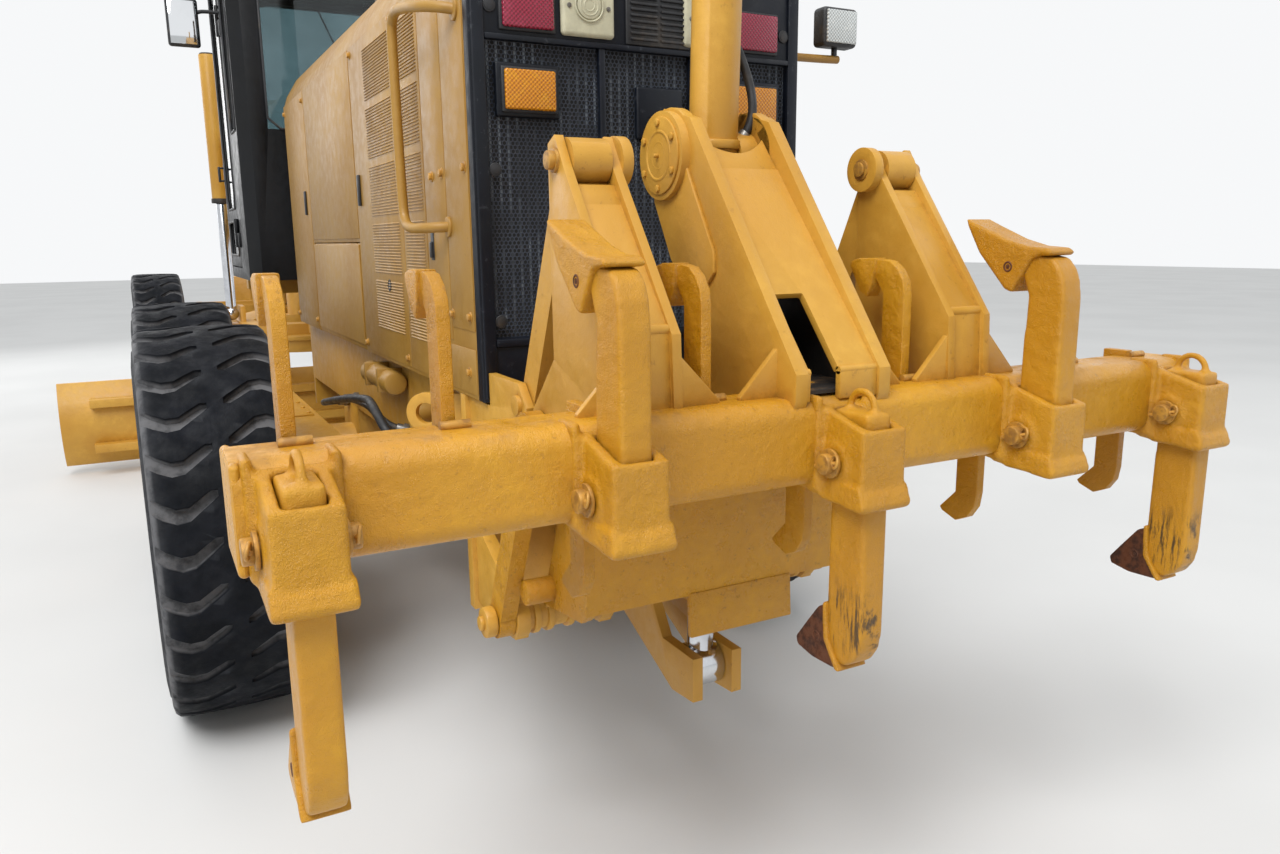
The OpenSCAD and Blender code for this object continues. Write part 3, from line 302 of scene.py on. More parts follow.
@dataclass(frozen=True)
class Paint:
    """Thick machine paint, with worn edges, dust on top and painted brown shade in corners."""

    name: str
    colour: Colour
    roughness: float = 0.36
    waves: float = 0.0016
    pits: float = 0.0004
    chips: float = 0.6
    bare: Colour = (104, 62, 34)
    dust: float = 0.35
    dust_colour: Colour = (150, 112, 68)
    # Strength of the painted shade that darkens the corners.
    corner_shade: float = 0.0
    scuffs: bool = False
    mirror: float = 0.48

    def rubbed(self, r: Recipe) -> Socket:
        """Black rub marks that run down the left sides of the two shanks that hang in the ground's way.

        Args:
            r: the material's recipe.

        Returns:
            Where the marks are, 0 to 1.
        """
        _, y, z = r.split(r.coords)
        low = r.ramp(z, 0.77, 0.83)
        high = r.ramp(z, 0.9, 0.98, 1, 0)
        mirrored = r.ramp(y, 0.3, 0.31, 1, 0)
        streaks = r.noise(1, 6, 0.75, r.vector("MULTIPLY", r.coords, (95, 20, 11)).outputs[0])
        band = r.maths("MULTIPLY", r.maths("MULTIPLY", low, high), mirrored)
        return r.maths("MULTIPLY", band, r.ramp(streaks, 0.48, 0.6, 0, 0.85))

    def mix(self) -> bpy.types.Material:
        """Build the material.

        Returns:
            The material.
        """
        r = Recipe(self.name)
        full = linear(self.colour)
        deep = tuple(c * f for c, f in zip(full, (0.84, 0.78, 0.66))) + (1,)
        pale = tuple(min(c * f, 1) for c, f in zip(full, (1.05, 1.07, 1.16))) + (1,)
        cloud = r.noise(2.3, 4, 0.55)
        blotch = r.noise(24, 5, 0.62)
        tone = r.blend(r.ramp(cloud, 0.36, 0.66), deep, pale)
        tone = r.blend(r.ramp(blotch, 0.42, 0.72, 0.55, 1), deep, tone)
        geometry = r.add("ShaderNodeNewGeometry")
        upward = r.split(geometry.outputs["Normal"])[2]
        patch = r.ramp(r.noise(11, 7, 0.68), 0.47, 0.66, 0, self.dust)
        dusty = r.maths("MULTIPLY", r.ramp(upward, 0.45, 0.95, 0.12, 1), patch)
        tone = r.blend(dusty, tone, linear(self.dust_colour))
        # Painted shade: where the occlusion probe finds a corner shut in, the paint is darkened to a blotchy brown.
        if self.corner_shade > 0:
            corner = r.add("ShaderNodeAmbientOcclusion", samples=4)
            corner.inputs["Distance"].default_value = 0.045
            shut = r.ramp(corner.outputs["AO"], 0.3, 0.8, self.corner_shade, 0)
            corner_shade_mark = r.maths("MULTIPLY", shut, r.ramp(r.noise(38, 5, 0.7), 0.4, 0.6))
            tone = r.blend(corner_shade_mark, tone, linear((92, 60, 30)))
        worn = r.maths("MULTIPLY", r.ramp(geometry.outputs["Pointiness"], 0.515, 0.57),
                       r.ramp(r.noise(46, 6, 0.72), 0.6, 0.66, 0, self.chips))
        tone = r.blend(worn, tone, linear(self.bare))
        if self.scuffs:
            tone = r.blend(self.rubbed(r), tone, linear((34, 32, 30)))
        matt = r.ramp(blotch, 0.3, 0.7, self.roughness - 0.07, self.roughness + 0.09)
        shine = r.maths("ADD", matt, r.maths("MULTIPLY", dusty, 0.5))
        normal = r.bump(r.noise(34, 4, 0.55), self.waves)
        normal = r.bump(r.noise(420, 3, 0.6), self.pits, normal)
        return r.done(tone, shine, normal, mirror=self.mirror)


@dataclass(frozen=True)
class Steel:
    """Bare metal: turned and chromed, or rusted and scraped."""

    name: str
    colour: Colour
    second: Colour
    roughness: float
    metal: float
    scale: float = 30.0
    pits: float = 0.0004

    def mix(self) -> bpy.types.Material:
        """Build the material.

        Returns:
            The material.
        """
        r = Recipe(self.name)
        blot = r.noise(self.scale, 7, 0.66)
        tone = r.blend(r.ramp(blot, 0.4, 0.62), linear(self.colour), linear(self.second))
        geometry = r.add("ShaderNodeNewGeometry")
        bright = tuple(min(1, c * 1.5 + 0.03) for c in linear(self.colour)[:3]) + (1,)
        tone = r.blend(r.ramp(geometry.outputs["Pointiness"], 0.52, 0.6, 0, 0.6), tone, bright)
        shine = r.ramp(r.noise(self.scale * 2, 4, 0.6), 0.3, 0.7, self.roughness * 0.8,
                       min(1, self.roughness * 1.25))
        normal = r.bump(r.noise(self.scale * 9, 5, 0.7), self.pits)
        return r.done(tone, shine, normal, self.metal)


@dataclass(frozen=True)
class TyreRubber:
    """Worn rubber, dark on the lugs, with pale grey in the grooves that is dust and also painted light for the lit
    groove walls, and dust on the sides.
    """

    name: str
    wheel: Point
    top: Colour = (8, 11, 16)
    # pale grey of the grooves and sides: dust, and painted light on the groove walls
    dusty: Colour = (104, 104, 106)

    def mix(self) -> bpy.types.Material:
        """Build the material round the wheel's middle.

        Returns:
            The material.
        """
        r = Recipe(self.name)
        local = r.vector("SUBTRACT", r.coords, tuple(place(*self.wheel))).outputs[0]
        flat = r.vector("MULTIPLY", local, (1, 0, 1)).outputs[0]
        radius = r.vector("LENGTH", flat).outputs[1]
        cloud = r.noise(7, 6, 0.65)
        tone = r.blend(r.ramp(cloud, 0.35, 0.68), linear(self.top), linear((16, 19, 26)))
        # Pale grey in the grooves: dust, and painted light standing for the lit groove walls; fainter down the sides.
        groove = r.maths("MULTIPLY", r.ramp(radius, 0.664, 0.681, 1, 0), r.ramp(radius, 0.60, 0.645, 0.2, 1))
        groove = r.maths("MULTIPLY", groove, r.ramp(r.noise(20, 5, 0.6), 0.3, 0.6, 0.35, 0.95))
        tone = r.blend(groove, tone, linear(self.dusty))
        smear = r.ramp(r.noise(3.5, 7, 0.7), 0.52, 0.74, 0, 0.24)
        tone = r.blend(smear, tone, linear((58, 58, 60)))
        geometry = r.add("ShaderNodeNewGeometry")
        sharp = r.ramp(geometry.outputs["Pointiness"], 0.52, 0.6)
        edge = r.maths("MULTIPLY", sharp, r.ramp(cloud, 0.4, 0.6, 0.1, 0.4))
        tone = r.blend(edge, tone, linear((66, 68, 72)))
        shine = r.ramp(r.noise(16, 4, 0.6), 0.3, 0.7, 0.55, 0.86)
        normal = r.bump(r.noise(55, 6, 0.65), 0.0022)
        rings = r.maths("SINE", r.maths("MULTIPLY", radius, 620))
        side = r.maths("MULTIPLY", rings, r.ramp(radius, 0.60, 0.58, 0, 0.5))
        normal = r.bump(side, 0.0008, normal)
        return r.done(tone, shine, normal, mirror=0.16)


@dataclass(frozen=True)
class Perforated:
    """Painted sheet with six-sided holes; the holes are painted near black as shade behind the sheet, crossed by pale
    stripes that paint the lit fins of the core behind them.
    """

    name: str
    colour: Colour = (34, 42, 56)
    pitch: float = 0.0113
    fin_pitch: float = 0.024
    half: tuple[float, float] = (0.5, 0.8660254)

    def six_sided(self, r: Recipe, shift: tuple[float, float]) -> Socket:
        """The distance to the middle of the nearest hole of one of the two grids.

        Args:
            r: the material's recipe.
            shift: where this grid starts.

        Returns:
            The distance, 0 in the middle and 0.5 halfway to the next hole.
        """
        _, across, up = r.split(r.coords)
        flat = r.add("ShaderNodeCombineXYZ")
        r.feed(flat.inputs[0], across)
        r.feed(flat.inputs[1], up)
        scaled = r.vector("MULTIPLY_ADD", flat.outputs[0], (1 / self.pitch,) * 3)
        scaled.inputs[2].default_value = (1000 + shift[0], 1732.0508 + shift[1], 0)
        cell = r.vector("MODULO", scaled.outputs[0], (1, 1.7320508, 1)).outputs[0]
        centred = r.vector("SUBTRACT", cell, (*self.half, 0)).outputs[0]
        size = r.vector("ABSOLUTE", centred).outputs[0]
        slant = r.vector("DOT_PRODUCT", size, (*self.half, 0)).outputs[1]
        level = r.vector("DOT_PRODUCT", size, (1, 0, 0)).outputs[1]
        return r.maths("MAXIMUM", slant, level)

    def mix(self) -> bpy.types.Material:
        """Build the material.

        Returns:
            The material.
        """
        r = Recipe(self.name)
        near = r.maths("MINIMUM", self.six_sided(r, (0, 0)), self.six_sided(r, self.half))
        web = r.ramp(near, 0.34, 0.41)
        wave = r.maths("SINE", r.maths("MULTIPLY", r.split(r.coords)[1], 2 * math.pi / self.fin_pitch))
        # Painted light in the holes: near black for the shade behind the sheet, with pale stripes for the lit fins of
        # the core.
        lit_fin_stripes = r.maths("MULTIPLY", r.ramp(wave, 0.55, 0.8), r.ramp(r.noise(9, 3), 0.4, 0.6, 0.1, 0.85))
        inside = r.blend(lit_fin_stripes, linear((7, 8, 10)), linear((104, 112, 120)))
        cloud = r.noise(12, 5, 0.6)
        skin = r.blend(r.ramp(cloud, 0.4, 0.65), linear(self.colour), linear((50, 58, 72)))
        tone = r.blend(web, inside, skin)
        shine = r.ramp(web, 0, 1, 0.9, 0.42)
        return r.done(tone, shine, r.bump(web, 0.0025))


@dataclass(frozen=True)
class Lens:
    """A moulded lamp lens with a fine pattern pressed into its inside."""

    name: str
    colour: Colour
    deep: Colour
    cell: float = 0.011
    faded: Colour = (206, 120, 140)

    def mix(self) -> bpy.types.Material:
        """Build the material.

        Returns:
            The material.
        """
        r = Recipe(self.name)
        _, y, z = r.split(r.coords)
        across, along = (r.maths("SINE", r.maths("MULTIPLY", c, 2 * math.pi / self.cell)) for c in (y, z))
        waffle = r.maths("MULTIPLY", across, along)
        tone = r.blend(r.ramp(waffle, -0.5, 0.5), linear(self.deep), linear(self.colour))
        tone = r.blend(r.ramp(r.noise(26, 5, 0.65), 0.5, 0.75, 0, 0.55), tone, linear(self.faded))
        self.set_gloss(r)
        return r.done(tone, r.ramp(r.noise(40, 4), 0.3, 0.7, 0.16, 0.34), r.bump(waffle, 0.0006))

    def set_gloss(self, r: Recipe) -> None:
        """Give the lens a clear outer skin."""
        for name, value in (("Coat Weight", 0.25), ("Coat Roughness", 0.08)):
            r.shader.inputs[name].default_value = value


@dataclass(frozen=True)
class ClearGlass:
    """Tinted window glass with a little dust."""

    name: str
    colour: Colour = (150, 170, 174)

    def mix(self) -> bpy.types.Material:
        """Build the material.

        Returns:
            The material.
        """
        r = Recipe(self.name)
        r.shader.inputs["Transmission Weight"].default_value = 1
        haze = r.ramp(r.noise(6, 6, 0.7), 0.45, 0.8, 0.02, 0.16)
        tone = r.blend(r.ramp(r.noise(4, 3), 0.3, 0.7), linear(self.colour), linear((136, 158, 162)))
        return r.done(tone, haze, r.bump(r.noise(2, 1), 0.0003))


@dataclass(frozen=True)
class Moulded:
    """Moulded plastic or hose rubber, with a fine grain."""

    name: str
    colour: Colour
    roughness: float = 0.5
    grain: float = 600.0
    depth: float = 0.0003

    def mix(self) -> bpy.types.Material:
        """Build the material.

        Returns:
            The material.
        """
        r = Recipe(self.name)
        full = linear(self.colour)
        pale = tuple(min(1, c * 1.25 + 0.008) for c in full[:3]) + (1,)
        tone = r.blend(r.ramp(r.noise(14, 6, 0.65), 0.35, 0.7), full, pale)
        tone = r.blend(r.ramp(r.noise(5, 7, 0.7), 0.52, 0.74, 0, 0.4), tone, linear((120, 104, 84)))
        shine = r.ramp(r.noise(30, 4), 0.3, 0.7, self.roughness * 0.85, min(1, self.roughness * 1.2))
        return r.done(tone, shine, r.bump(r.noise(self.grain, 3, 0.6), self.depth))


@dataclass(frozen=True)
class SeatCloth:
    """Woven seat cloth."""

    name: str
    colour: Colour = (46, 48, 54)
    thread: float = 0.0022

    def mix(self) -> bpy.types.Material:
        """Build the material.

        Returns:
            The material.
        """
        r = Recipe(self.name)
        x, y, z = r.split(r.coords)
        turns = 2 * math.pi / self.thread
        warp = r.maths("SINE", r.maths("MULTIPLY", r.maths("ADD", x, z), turns))
        weft = r.maths("SINE", r.maths("MULTIPLY", y, turns))
        weave = r.maths("MULTIPLY", warp, weft)
        tone = r.blend(r.ramp(weave, -0.8, 0.8), linear(self.colour), linear((74, 76, 82)))
        r.shader.inputs["Sheen Weight"].default_value = 0.25
        return r.done(tone, r.ramp(r.noise(9), 0.3, 0.7, 0.78, 0.95), r.bump(weave, 0.0004))


class Bench:
    """The hand tools that shape the pieces."""

    @staticmethod
    def clear() -> None:
        """Leave edit mode and deselect everything."""
        if bpy.context.object is not None and bpy.context.object.mode != "OBJECT":
            bpy.ops.object.mode_set(mode="OBJECT")
        bpy.ops.object.select_all(action="DESELECT")

    @classmethod
    def take(cls, *pieces: Piece) -> None:
        """Select these pieces alone and make the last one active.

        Args:
            pieces: the pieces.
        """
        cls.clear()
        for piece in pieces:
            piece.select_set(True)
        bpy.context.view_layer.objects.active = pieces[-1]

    @classmethod
    def open(cls, piece: Piece) -> None:
        """Start to edit a piece's mesh, with all of it selected.

        Args:
            piece: the piece.
        """
        cls.take(piece)
        bpy.ops.object.mode_set(mode="EDIT")
        bpy.ops.mesh.select_all(action="SELECT")

    @staticmethod
    def close(outwards: bool = False) -> None:
        """Stop editing.

        Args:
            outwards: whether all faces are turned outwards first.
        """
        if outwards:
            bpy.ops.mesh.select_all(action="SELECT")
            bpy.ops.mesh.normals_make_consistent(inside=False)
        bpy.ops.object.mode_set(mode="OBJECT")

    @classmethod
    def named(cls, name: str) -> Piece:
        """Name the piece that was just added and put its place into its mesh.

        Args:
            name: its name.

        Returns:
            The piece.
        """
        piece = bpy.context.object
        piece.name = name
        cls.take(piece)
        bpy.ops.object.transform_apply(location=True, rotation=True, scale=True)
        return piece

    @classmethod
    def smooth(cls, piece: Piece, degrees: float) -> Piece:
        """Shade a piece smooth.

        Args:
            piece: the piece.
            degrees: sharper edges stay sharp.

        Returns:
            The piece.
        """
        cls.take(piece)
        bpy.ops.object.shade_smooth_by_angle(angle=math.radians(degrees))
        return piece

    @classmethod
    def apply(cls, piece: Piece, kind: str, **settings: object) -> Piece:
        """Add a modifier and apply it.

        Args:
            piece: the piece.
            kind: the modifier's type.
            settings: its properties by name.

        Returns:
            The piece.
        """
        cls.take(piece)
        modifier = piece.modifiers.new(kind.title(), kind)
        for key, value in settings.items():
            setattr(modifier, key, value)
        bpy.ops.object.modifier_apply(modifier=modifier.name)
        return piece

    @classmethod
    def soften(cls, piece: Piece, width: float, segments: int = 2, degrees: float = 32.0) -> Piece:
        """Round a piece's edges.

        Args:
            piece: the piece.
            width: millimetres.
            segments: faces across each rounded edge.
            degrees: edges sharper than this are rounded.

        Returns:
            The piece.
        """
        if width > 0:
            cls.apply(piece, "BEVEL", width=width / 1000, segments=segments, limit_method="ANGLE",
                      angle_limit=math.radians(degrees), use_clamp_overlap=True, miter_outer="MITER_ARC")
        return cls.smooth(piece, 38)

    @classmethod
    def block(cls, name: str, low: Point, high: Point) -> Piece:
        """A sharp block between two corners.

        Args:
            name: the piece's name.
            low: one corner.
            high: the other.

        Returns:
            The piece.
        """
        cls.clear()
        a, b = place(*low), place(*high)
        bpy.ops.mesh.primitive_cube_add(size=1, location=(a + b) / 2)
        bpy.context.object.scale = [abs(s) for s in b - a]
        return cls.named(name)

    @classmethod
    def box(cls, name: str, low: Point, high: Point, edge: float = 2.0, segments: int = 2) -> Piece:
        """A block between two corners with rounded edges."""
        return cls.soften(cls.block(name, low, high), edge, segments)

    @classmethod
    def rod(cls, name: str, start: Point, end: Point, radius: float, sides: int = 32, edge: float = 1.5) -> Piece:
        """A round bar with chamfered ends.

        Args:
            name: the piece's name.
            start: the middle of one end.
            end: the middle of the other.
            radius: half its thickness.
            sides: faces round it.
            edge: width of the chamfer.

        Returns:
            The piece.
        """
        cls.clear()
        a, b = place(*start), place(*end)
        run = b - a
        bpy.ops.mesh.primitive_cone_add(
            vertices=sides, radius1=radius / 1000, radius2=radius / 1000, depth=run.length, location=(a + b) / 2,
            rotation=run.to_track_quat("Z", "Y").to_euler())
        return cls.soften(cls.named(name), edge, 2, 40)

    @classmethod
    def ring(cls, name: str, middle: Point, axis: Point, radius: float, thick: float, sides: int = 40) -> Piece:
        """A round ring.

        Args:
            name: the piece's name.
            middle: its middle.
            axis: the direction it faces.
            radius: from its middle to the middle of its bar.
            thick: half the bar's thickness.
            sides: faces round it.

        Returns:
            The piece.
        """
        cls.clear()
        turn = Vector(axis).to_track_quat("Z", "Y").to_euler()
        bpy.ops.mesh.primitive_torus_add(
            location=place(*middle), rotation=turn, major_segments=sides, minor_segments=10,
            major_radius=radius / 1000, minor_radius=thick / 1000)
        return cls.smooth(cls.named(name), 60)

    @classmethod
    def plate(cls, name: str, outline: list[tuple[float, float]], across: Across, low: float, high: float,
              edge: float = 1.5) -> Piece:
        """A plate cut to an outline.

        Args:
            name: the piece's name.
            outline: corner points in the two directions that the thickness doesn't run in, in the order X, Y, Z.
            across: the direction of the thickness.
            low: where the thickness starts.
            high: where it ends.
            edge: rounding of its edges.

        Returns:
            The piece.
        """
        cls.clear()
        bpy.ops.mesh.primitive_circle_add(vertices=len(outline), radius=1, fill_type="NGON")
        piece = bpy.context.object
        piece.name = name
        for vertex, (u, v) in zip(piece.data.vertices, outline):
            spot = {Across.X: (low, u, v), Across.Y: (u, low, v), Across.Z: (u, v, low)}[across]
            vertex.co = place(*spot)
        step = [0, 0, 0]
        step[across.value] = (high - low) / 1000
        cls.open(piece)
        bpy.ops.mesh.extrude_region_move(TRANSFORM_OT_translate={"value": tuple(step)})
        cls.close(outwards=True)
        return cls.soften(piece, edge, 2)

    @classmethod
    def line(cls, corners: list[Point], steps: int = 8) -> list[Vector]:
        """One smooth line through corners.

        Args:
            corners: the points that it runs through.
            steps: points from one corner to the next.

        Returns:
            Its points in metres.
        """
        spots = [place(*c) for c in corners]
        ends = [spots[0] * 2 - spots[1]] + spots + [spots[-1] * 2 - spots[-2]]
        points = []
        for i in range(1, len(ends) - 2):
            a, b, c, d = ends[i - 1:i + 3]
            for k in range(steps):
                t = k / steps
                points.append(0.5 * (2 * b + (c - a) * t + (2 * a - 5 * b + 4 * c - d) * t * t
                                     + (3 * b - a - 3 * c + d) * t ** 3))
        points.append(spots[-1])
        return points

    @classmethod
    def tube(cls, name: str, points: list[Vector], radius: float, sides: int = 3) -> Piece:
        """A round tube, closed at both ends.

        Args:
            name: the piece's name.
            points: what it runs along, in metres.
            radius: half its thickness in millimetres.
            sides: how round it is.

        Returns:
            The piece.
        """
        cls.clear()
        curve = bpy.data.curves.new(name, "CURVE")
        curve.dimensions = "3D"
        curve.bevel_depth = radius / 1000
        curve.bevel_resolution = sides
        curve.use_fill_caps = True
        spline = curve.splines.new("POLY")
        spline.points.add(len(points) - 1)
        for knot, spot in zip(spline.points, points):
            knot.co = (*spot, 1)
        piece = bpy.data.objects.new(name, curve)
        bpy.context.scene.collection.objects.link(piece)
        cls.take(piece)
        bpy.ops.object.convert(target="MESH")
        return cls.smooth(bpy.context.object, 60)

    @classmethod
    def copy(cls, piece: Piece, name: str, change: Matrix | None = None) -> Piece:
        """Copy a piece with its own mesh.

        Args:
            piece: the piece.
            name: the copy's name.
            change: how the copy's mesh is moved, turned or mirrored.

        Returns:
            The copy.
        """
        twin = bpy.data.objects.new(name, piece.data.copy())
        bpy.context.scene.collection.objects.link(twin)
        if change is not None:
            twin.data.transform(change)
            if change.determinant() < 0:
                twin.data.flip_normals()
        return twin

    @classmethod
    def both(cls, *pieces: Piece) -> list[Piece]:
        """Each piece, followed by its copy on the machine's other side."""
        return [q for p in pieces for q in (p, cls.copy(p, p.name + "_other", OTHER_SIDE))]

    @classmethod
    def join(cls, name: str, pieces: list[Piece]) -> Piece:
        """Join pieces into one.

        Args:
            name: the name of the whole.
            pieces: what it is made of.

        Returns:
            The whole.
        """
        cls.take(*pieces)
        if len(pieces) > 1:
            bpy.ops.object.join()
        piece = bpy.context.object
        piece.name = name
        return piece

    @classmethod
    def carve(cls, piece: Piece, cutter: Piece) -> Piece:
        """Cut one piece out of another and throw the cutter away.

        Args:
            piece: what stays.
            cutter: what is cut out of it.

        Returns:
            The cut piece.
        """
        cls.apply(piece, "BOOLEAN", operation="DIFFERENCE", solver="EXACT", object=cutter)
        bpy.data.objects.remove(cutter)
        return piece

    @classmethod
    def merged(cls, node: str, name: str) -> Piece:
        """A copy of a CAD node with its triangles merged into whole faces.

        Args:
            node: the CAD node.
            name: the copy's name.

        Returns:
            The copy.
        """
        piece = cls.copy(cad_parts[node], name)
        piece.data.materials.clear()
        cls.take(piece)
        if piece.data.has_custom_normals:
            bpy.ops.mesh.customdata_custom_splitnormals_clear()
        cls.open(piece)
        bpy.ops.mesh.remove_doubles(threshold=0.00002)
        bpy.ops.mesh.tris_convert_to_quads(face_threshold=math.radians(1), shape_threshold=math.radians(180))
        cls.close()
        return piece

    @classmethod
    def loose(cls, piece: Piece) -> list[Piece]:
        """Part a piece into the solids that it is made of.

        Args:
            piece: the piece.

        Returns:
            The solids.
        """
        cls.open(piece)
        bpy.ops.mesh.separate(type="LOOSE")
        cls.close()
        return list(bpy.context.selected_objects)

    @classmethod
    def turned(cls, piece: Piece, origin: Point, degrees: float) -> Piece:
        """Turn a piece's mesh about a line across the machine.

        Args:
            piece: the piece.
            origin: a point of the line.
            degrees: how far it turns.

        Returns:
            The piece.
        """
        move = Matrix.Translation(place(*origin))
        piece.data.transform(move @ Matrix.Rotation(math.radians(degrees), 4, "Y") @ move.inverted())
        return piece

    @classmethod
    def welded(cls, node: str, name: str, edge: float = 3.0) -> Piece:
        """A CAD node as cut and welded plate: the same shape with rounded edges."""
        return cls.soften(cls.merged(node, name), edge, 2, 28)

    @classmethod
    def cast(cls, piece: Piece, cell: float, rounds: int) -> Piece:
        """Turn a piece into a casting: a fine even skin whose edges are worn round.

        Args:
            piece: the piece.
            cell: size of the skin's faces in millimetres.
            rounds: how often the skin is smoothed.

        Returns:
            The piece.
        """
        cls.apply(piece, "REMESH", mode="VOXEL", voxel_size=cell / 1000, adaptivity=0)
        cls.apply(piece, "SMOOTH", factor=0.5, iterations=rounds)
        cls.take(piece)
        bpy.ops.object.shade_smooth()
        return piece

    @classmethod
    def bolt(cls, name: str, spot: Point, axis: Point, size: float, washer: bool = True) -> Piece:
        """A six-sided bolt head on its washer.

        Args:
            name: the piece's name.
            spot: the middle of the washer's underside.
            axis: the direction the head stands out in.
            size: half the head's width.
            washer: whether it has a washer.

        Returns:
            The piece.
        """
        out = Vector(axis).normalized()
        base = Vector(spot)
        foot = base + out * (size * 0.25 if washer else 0)
        head = cls.rod(name, tuple(foot), tuple(foot + out * size * 0.85), size * 1.12, 6, size * 0.12)
        if not washer:
            return head
        under = cls.rod(name + "_washer", tuple(base), tuple(foot), size * 1.6, 20, size * 0.08)
        return cls.join(name, [under, head])


class Finishes:
    """All the materials, mixed once."""

    def __init__(self) -> None:
        """Mix every finish."""
        self.yellow = Paint("yellow_plate_paint", (207, 157, 60), 0.42, chips=0.3, corner_shade=0.35, dust=0.16).mix()
        self.casting = Paint("yellow_casting_paint", (207, 149, 24), 0.31, 0.0062, 0.0026, 0.4, corner_shade=0.45,
                             dust=0.2).mix()
        self.scuffed = Paint("yellow_shank_paint", (207, 150, 32), 0.34, 0.0045, 0.0018, 0.4, corner_shade=0.4, dust=0.2,
                             scuffs=True).mix()
        # The hood's yellow is darker than the other yellows: painted shade.
        self.hood = Paint("shaded_yellow_hood_paint", (168, 128, 54), 0.46, 0.0008, 0.0002, 0.2, dust=0.3).mix()
        self.beam = Paint("yellow_beam_paint", (211, 154, 34), 0.31, 0.0042, 0.0016, 0.45, corner_shade=0.4, dust=0.6).mix()
        self.navy = Paint("navy_black_paint", (10, 16, 27), 0.42, 0.0008, 0.0002, 0.35, (84, 88, 94), 0.16,
                          (70, 72, 76), mirror=0.3).mix()
        self.black = Paint("black_cab_paint", (15, 17, 21), 0.4, 0.0006, 0.0002, 0.3, (84, 84, 84), 0.2, (78, 74, 68),
                           mirror=0.3).mix()
        self.dark = Paint("dark_machine_paint", (38, 36, 34), 0.6, 0.001, chips=0.4, dust=0.5).mix()
        self.perforated = Perforated("perforated_panel").mix()
        self.chrome = Steel("rod_chrome", (206, 208, 212), (188, 190, 194), 0.16, 1, 8, 0.00005).mix()
        self.steel = Steel("bare_steel", (128, 126, 122), (92, 86, 80), 0.42, 0.85).mix()
        self.rust = Steel("rusty_tip_steel", (100, 56, 30), (62, 36, 24), 0.72, 0.25, 36, 0.0016).mix()
        self.edge = Steel("worn_blade_steel", (122, 112, 102), (98, 70, 48), 0.4, 0.8, 14, 0.0006).mix()
        self.pin = Steel("painted_pin", (184, 136, 52), (136, 96, 44), 0.42, 0.1, 45, 0.0008).mix()
        self.soot = Steel("exhaust_steel", (96, 88, 80), (64, 54, 46), 0.6, 0.6, 16, 0.0006).mix()
        self.red_lens = Lens("red_lamp_lens", (152, 26, 58), (112, 12, 38), faded=(166, 60, 86)).mix()
        self.amber_lens = Lens("amber_lamp_lens", (214, 140, 0), (178, 104, 0), faded=(222, 160, 20)).mix()
        self.clear_lens = Lens("clear_lamp_lens", (214, 218, 216), (168, 172, 172), faded=(236, 236, 230)).mix()
        self.cream = Moulded("cream_plastic", (184, 180, 154), 0.5, 300, 0.0004).mix()
        self.plastic = Moulded("black_plastic", (26, 27, 30), 0.48).mix()
        self.hose = Moulded("hose_rubber", (22, 22, 24), 0.55, 900, 0.0004).mix()
        self.glass = ClearGlass("cab_window_glass").mix()
        self.mirror = Steel("mirror_glass", (214, 218, 222), (206, 210, 214), 0.05, 1, 4, 0.00002).mix()
        self.cloth = SeatCloth("seat_cloth").mix()


class Assembly:
    """What every sub-assembly does: it hands over finished pieces."""

    def __init__(self, finishes: Finishes) -> None:
        """Keep the materials.

        Args:
            finishes: the mixed materials.
        """
        self.finishes = finishes

    def hand_over(self, piece: Piece, body: str, finish: bpy.types.Material, slot: Slot, *nodes: str) -> Piece:
        """Paint a piece, fix it to its body and hide the CAD nodes that it stands for.

        Args:
            piece: the piece.
            body: the body it moves with.
            finish: its material.
            slot: not used.
            nodes: CAD nodes that it replaces.

        Returns:
            The piece.
        """
        if not piece.data.materials:
            piece.data.materials.append(finish)
        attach(piece, body)
        if nodes:
            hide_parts(*nodes)
        LOG.info("%s rides on %s with %d faces", piece.name, body, len(piece.data.polygons))
        return piece

    def fit(
        self, name: str, parts: list[Piece], body: str, finish: bpy.types.Material, slot: Slot, *nodes: str) -> Piece:
        """Join parts into one piece and hand it over."""
        return self.hand_over(Bench.join(name, parts), body, finish, slot, *nodes)

    @staticmethod
    def repaint(node: str, finish: bpy.types.Material) -> None:
        """Give a CAD node that stays a better material.

        Args:
            node: the CAD node.
            finish: its material.
        """
        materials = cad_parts[node].data.materials
        materials.clear()
        materials.append(finish)

    def hose(self, name: str, corners: list[Point], radius: float, body: str) -> Piece:
        """A hose that goes back into the machine, with a fitting at each end.

        Args:
            name: the piece's name.
            corners: points it runs through.
            radius: half its thickness.
            body: the body it moves with.

        Returns:
            The hose.
        """
        points = Bench.line(corners)
        tube = Bench.tube(name, points, radius)
        ends = []
        for i, (end, back) in enumerate(((points[0], points[3]), (points[-1], points[-4]))):
            a = drawn(end)
            run = (back - end).normalized() * radius
            ends += [Bench.rod(f"{name}_end_{i}", tuple(a - run), tuple(a + run * 3), radius * 1.35, 12, 1),
                     Bench.rod(f"{name}_nut_{i}", tuple(a - run * 0.6), tuple(a + run * 1.2), radius * 1.8, 6, 1)]
        fittings = self.fit(name + "_fittings", ends, body, self.finishes.steel, Slot.STEEL)
        self.hand_over(tube, body, self.finishes.hose, Slot.BLACK)
        return tube


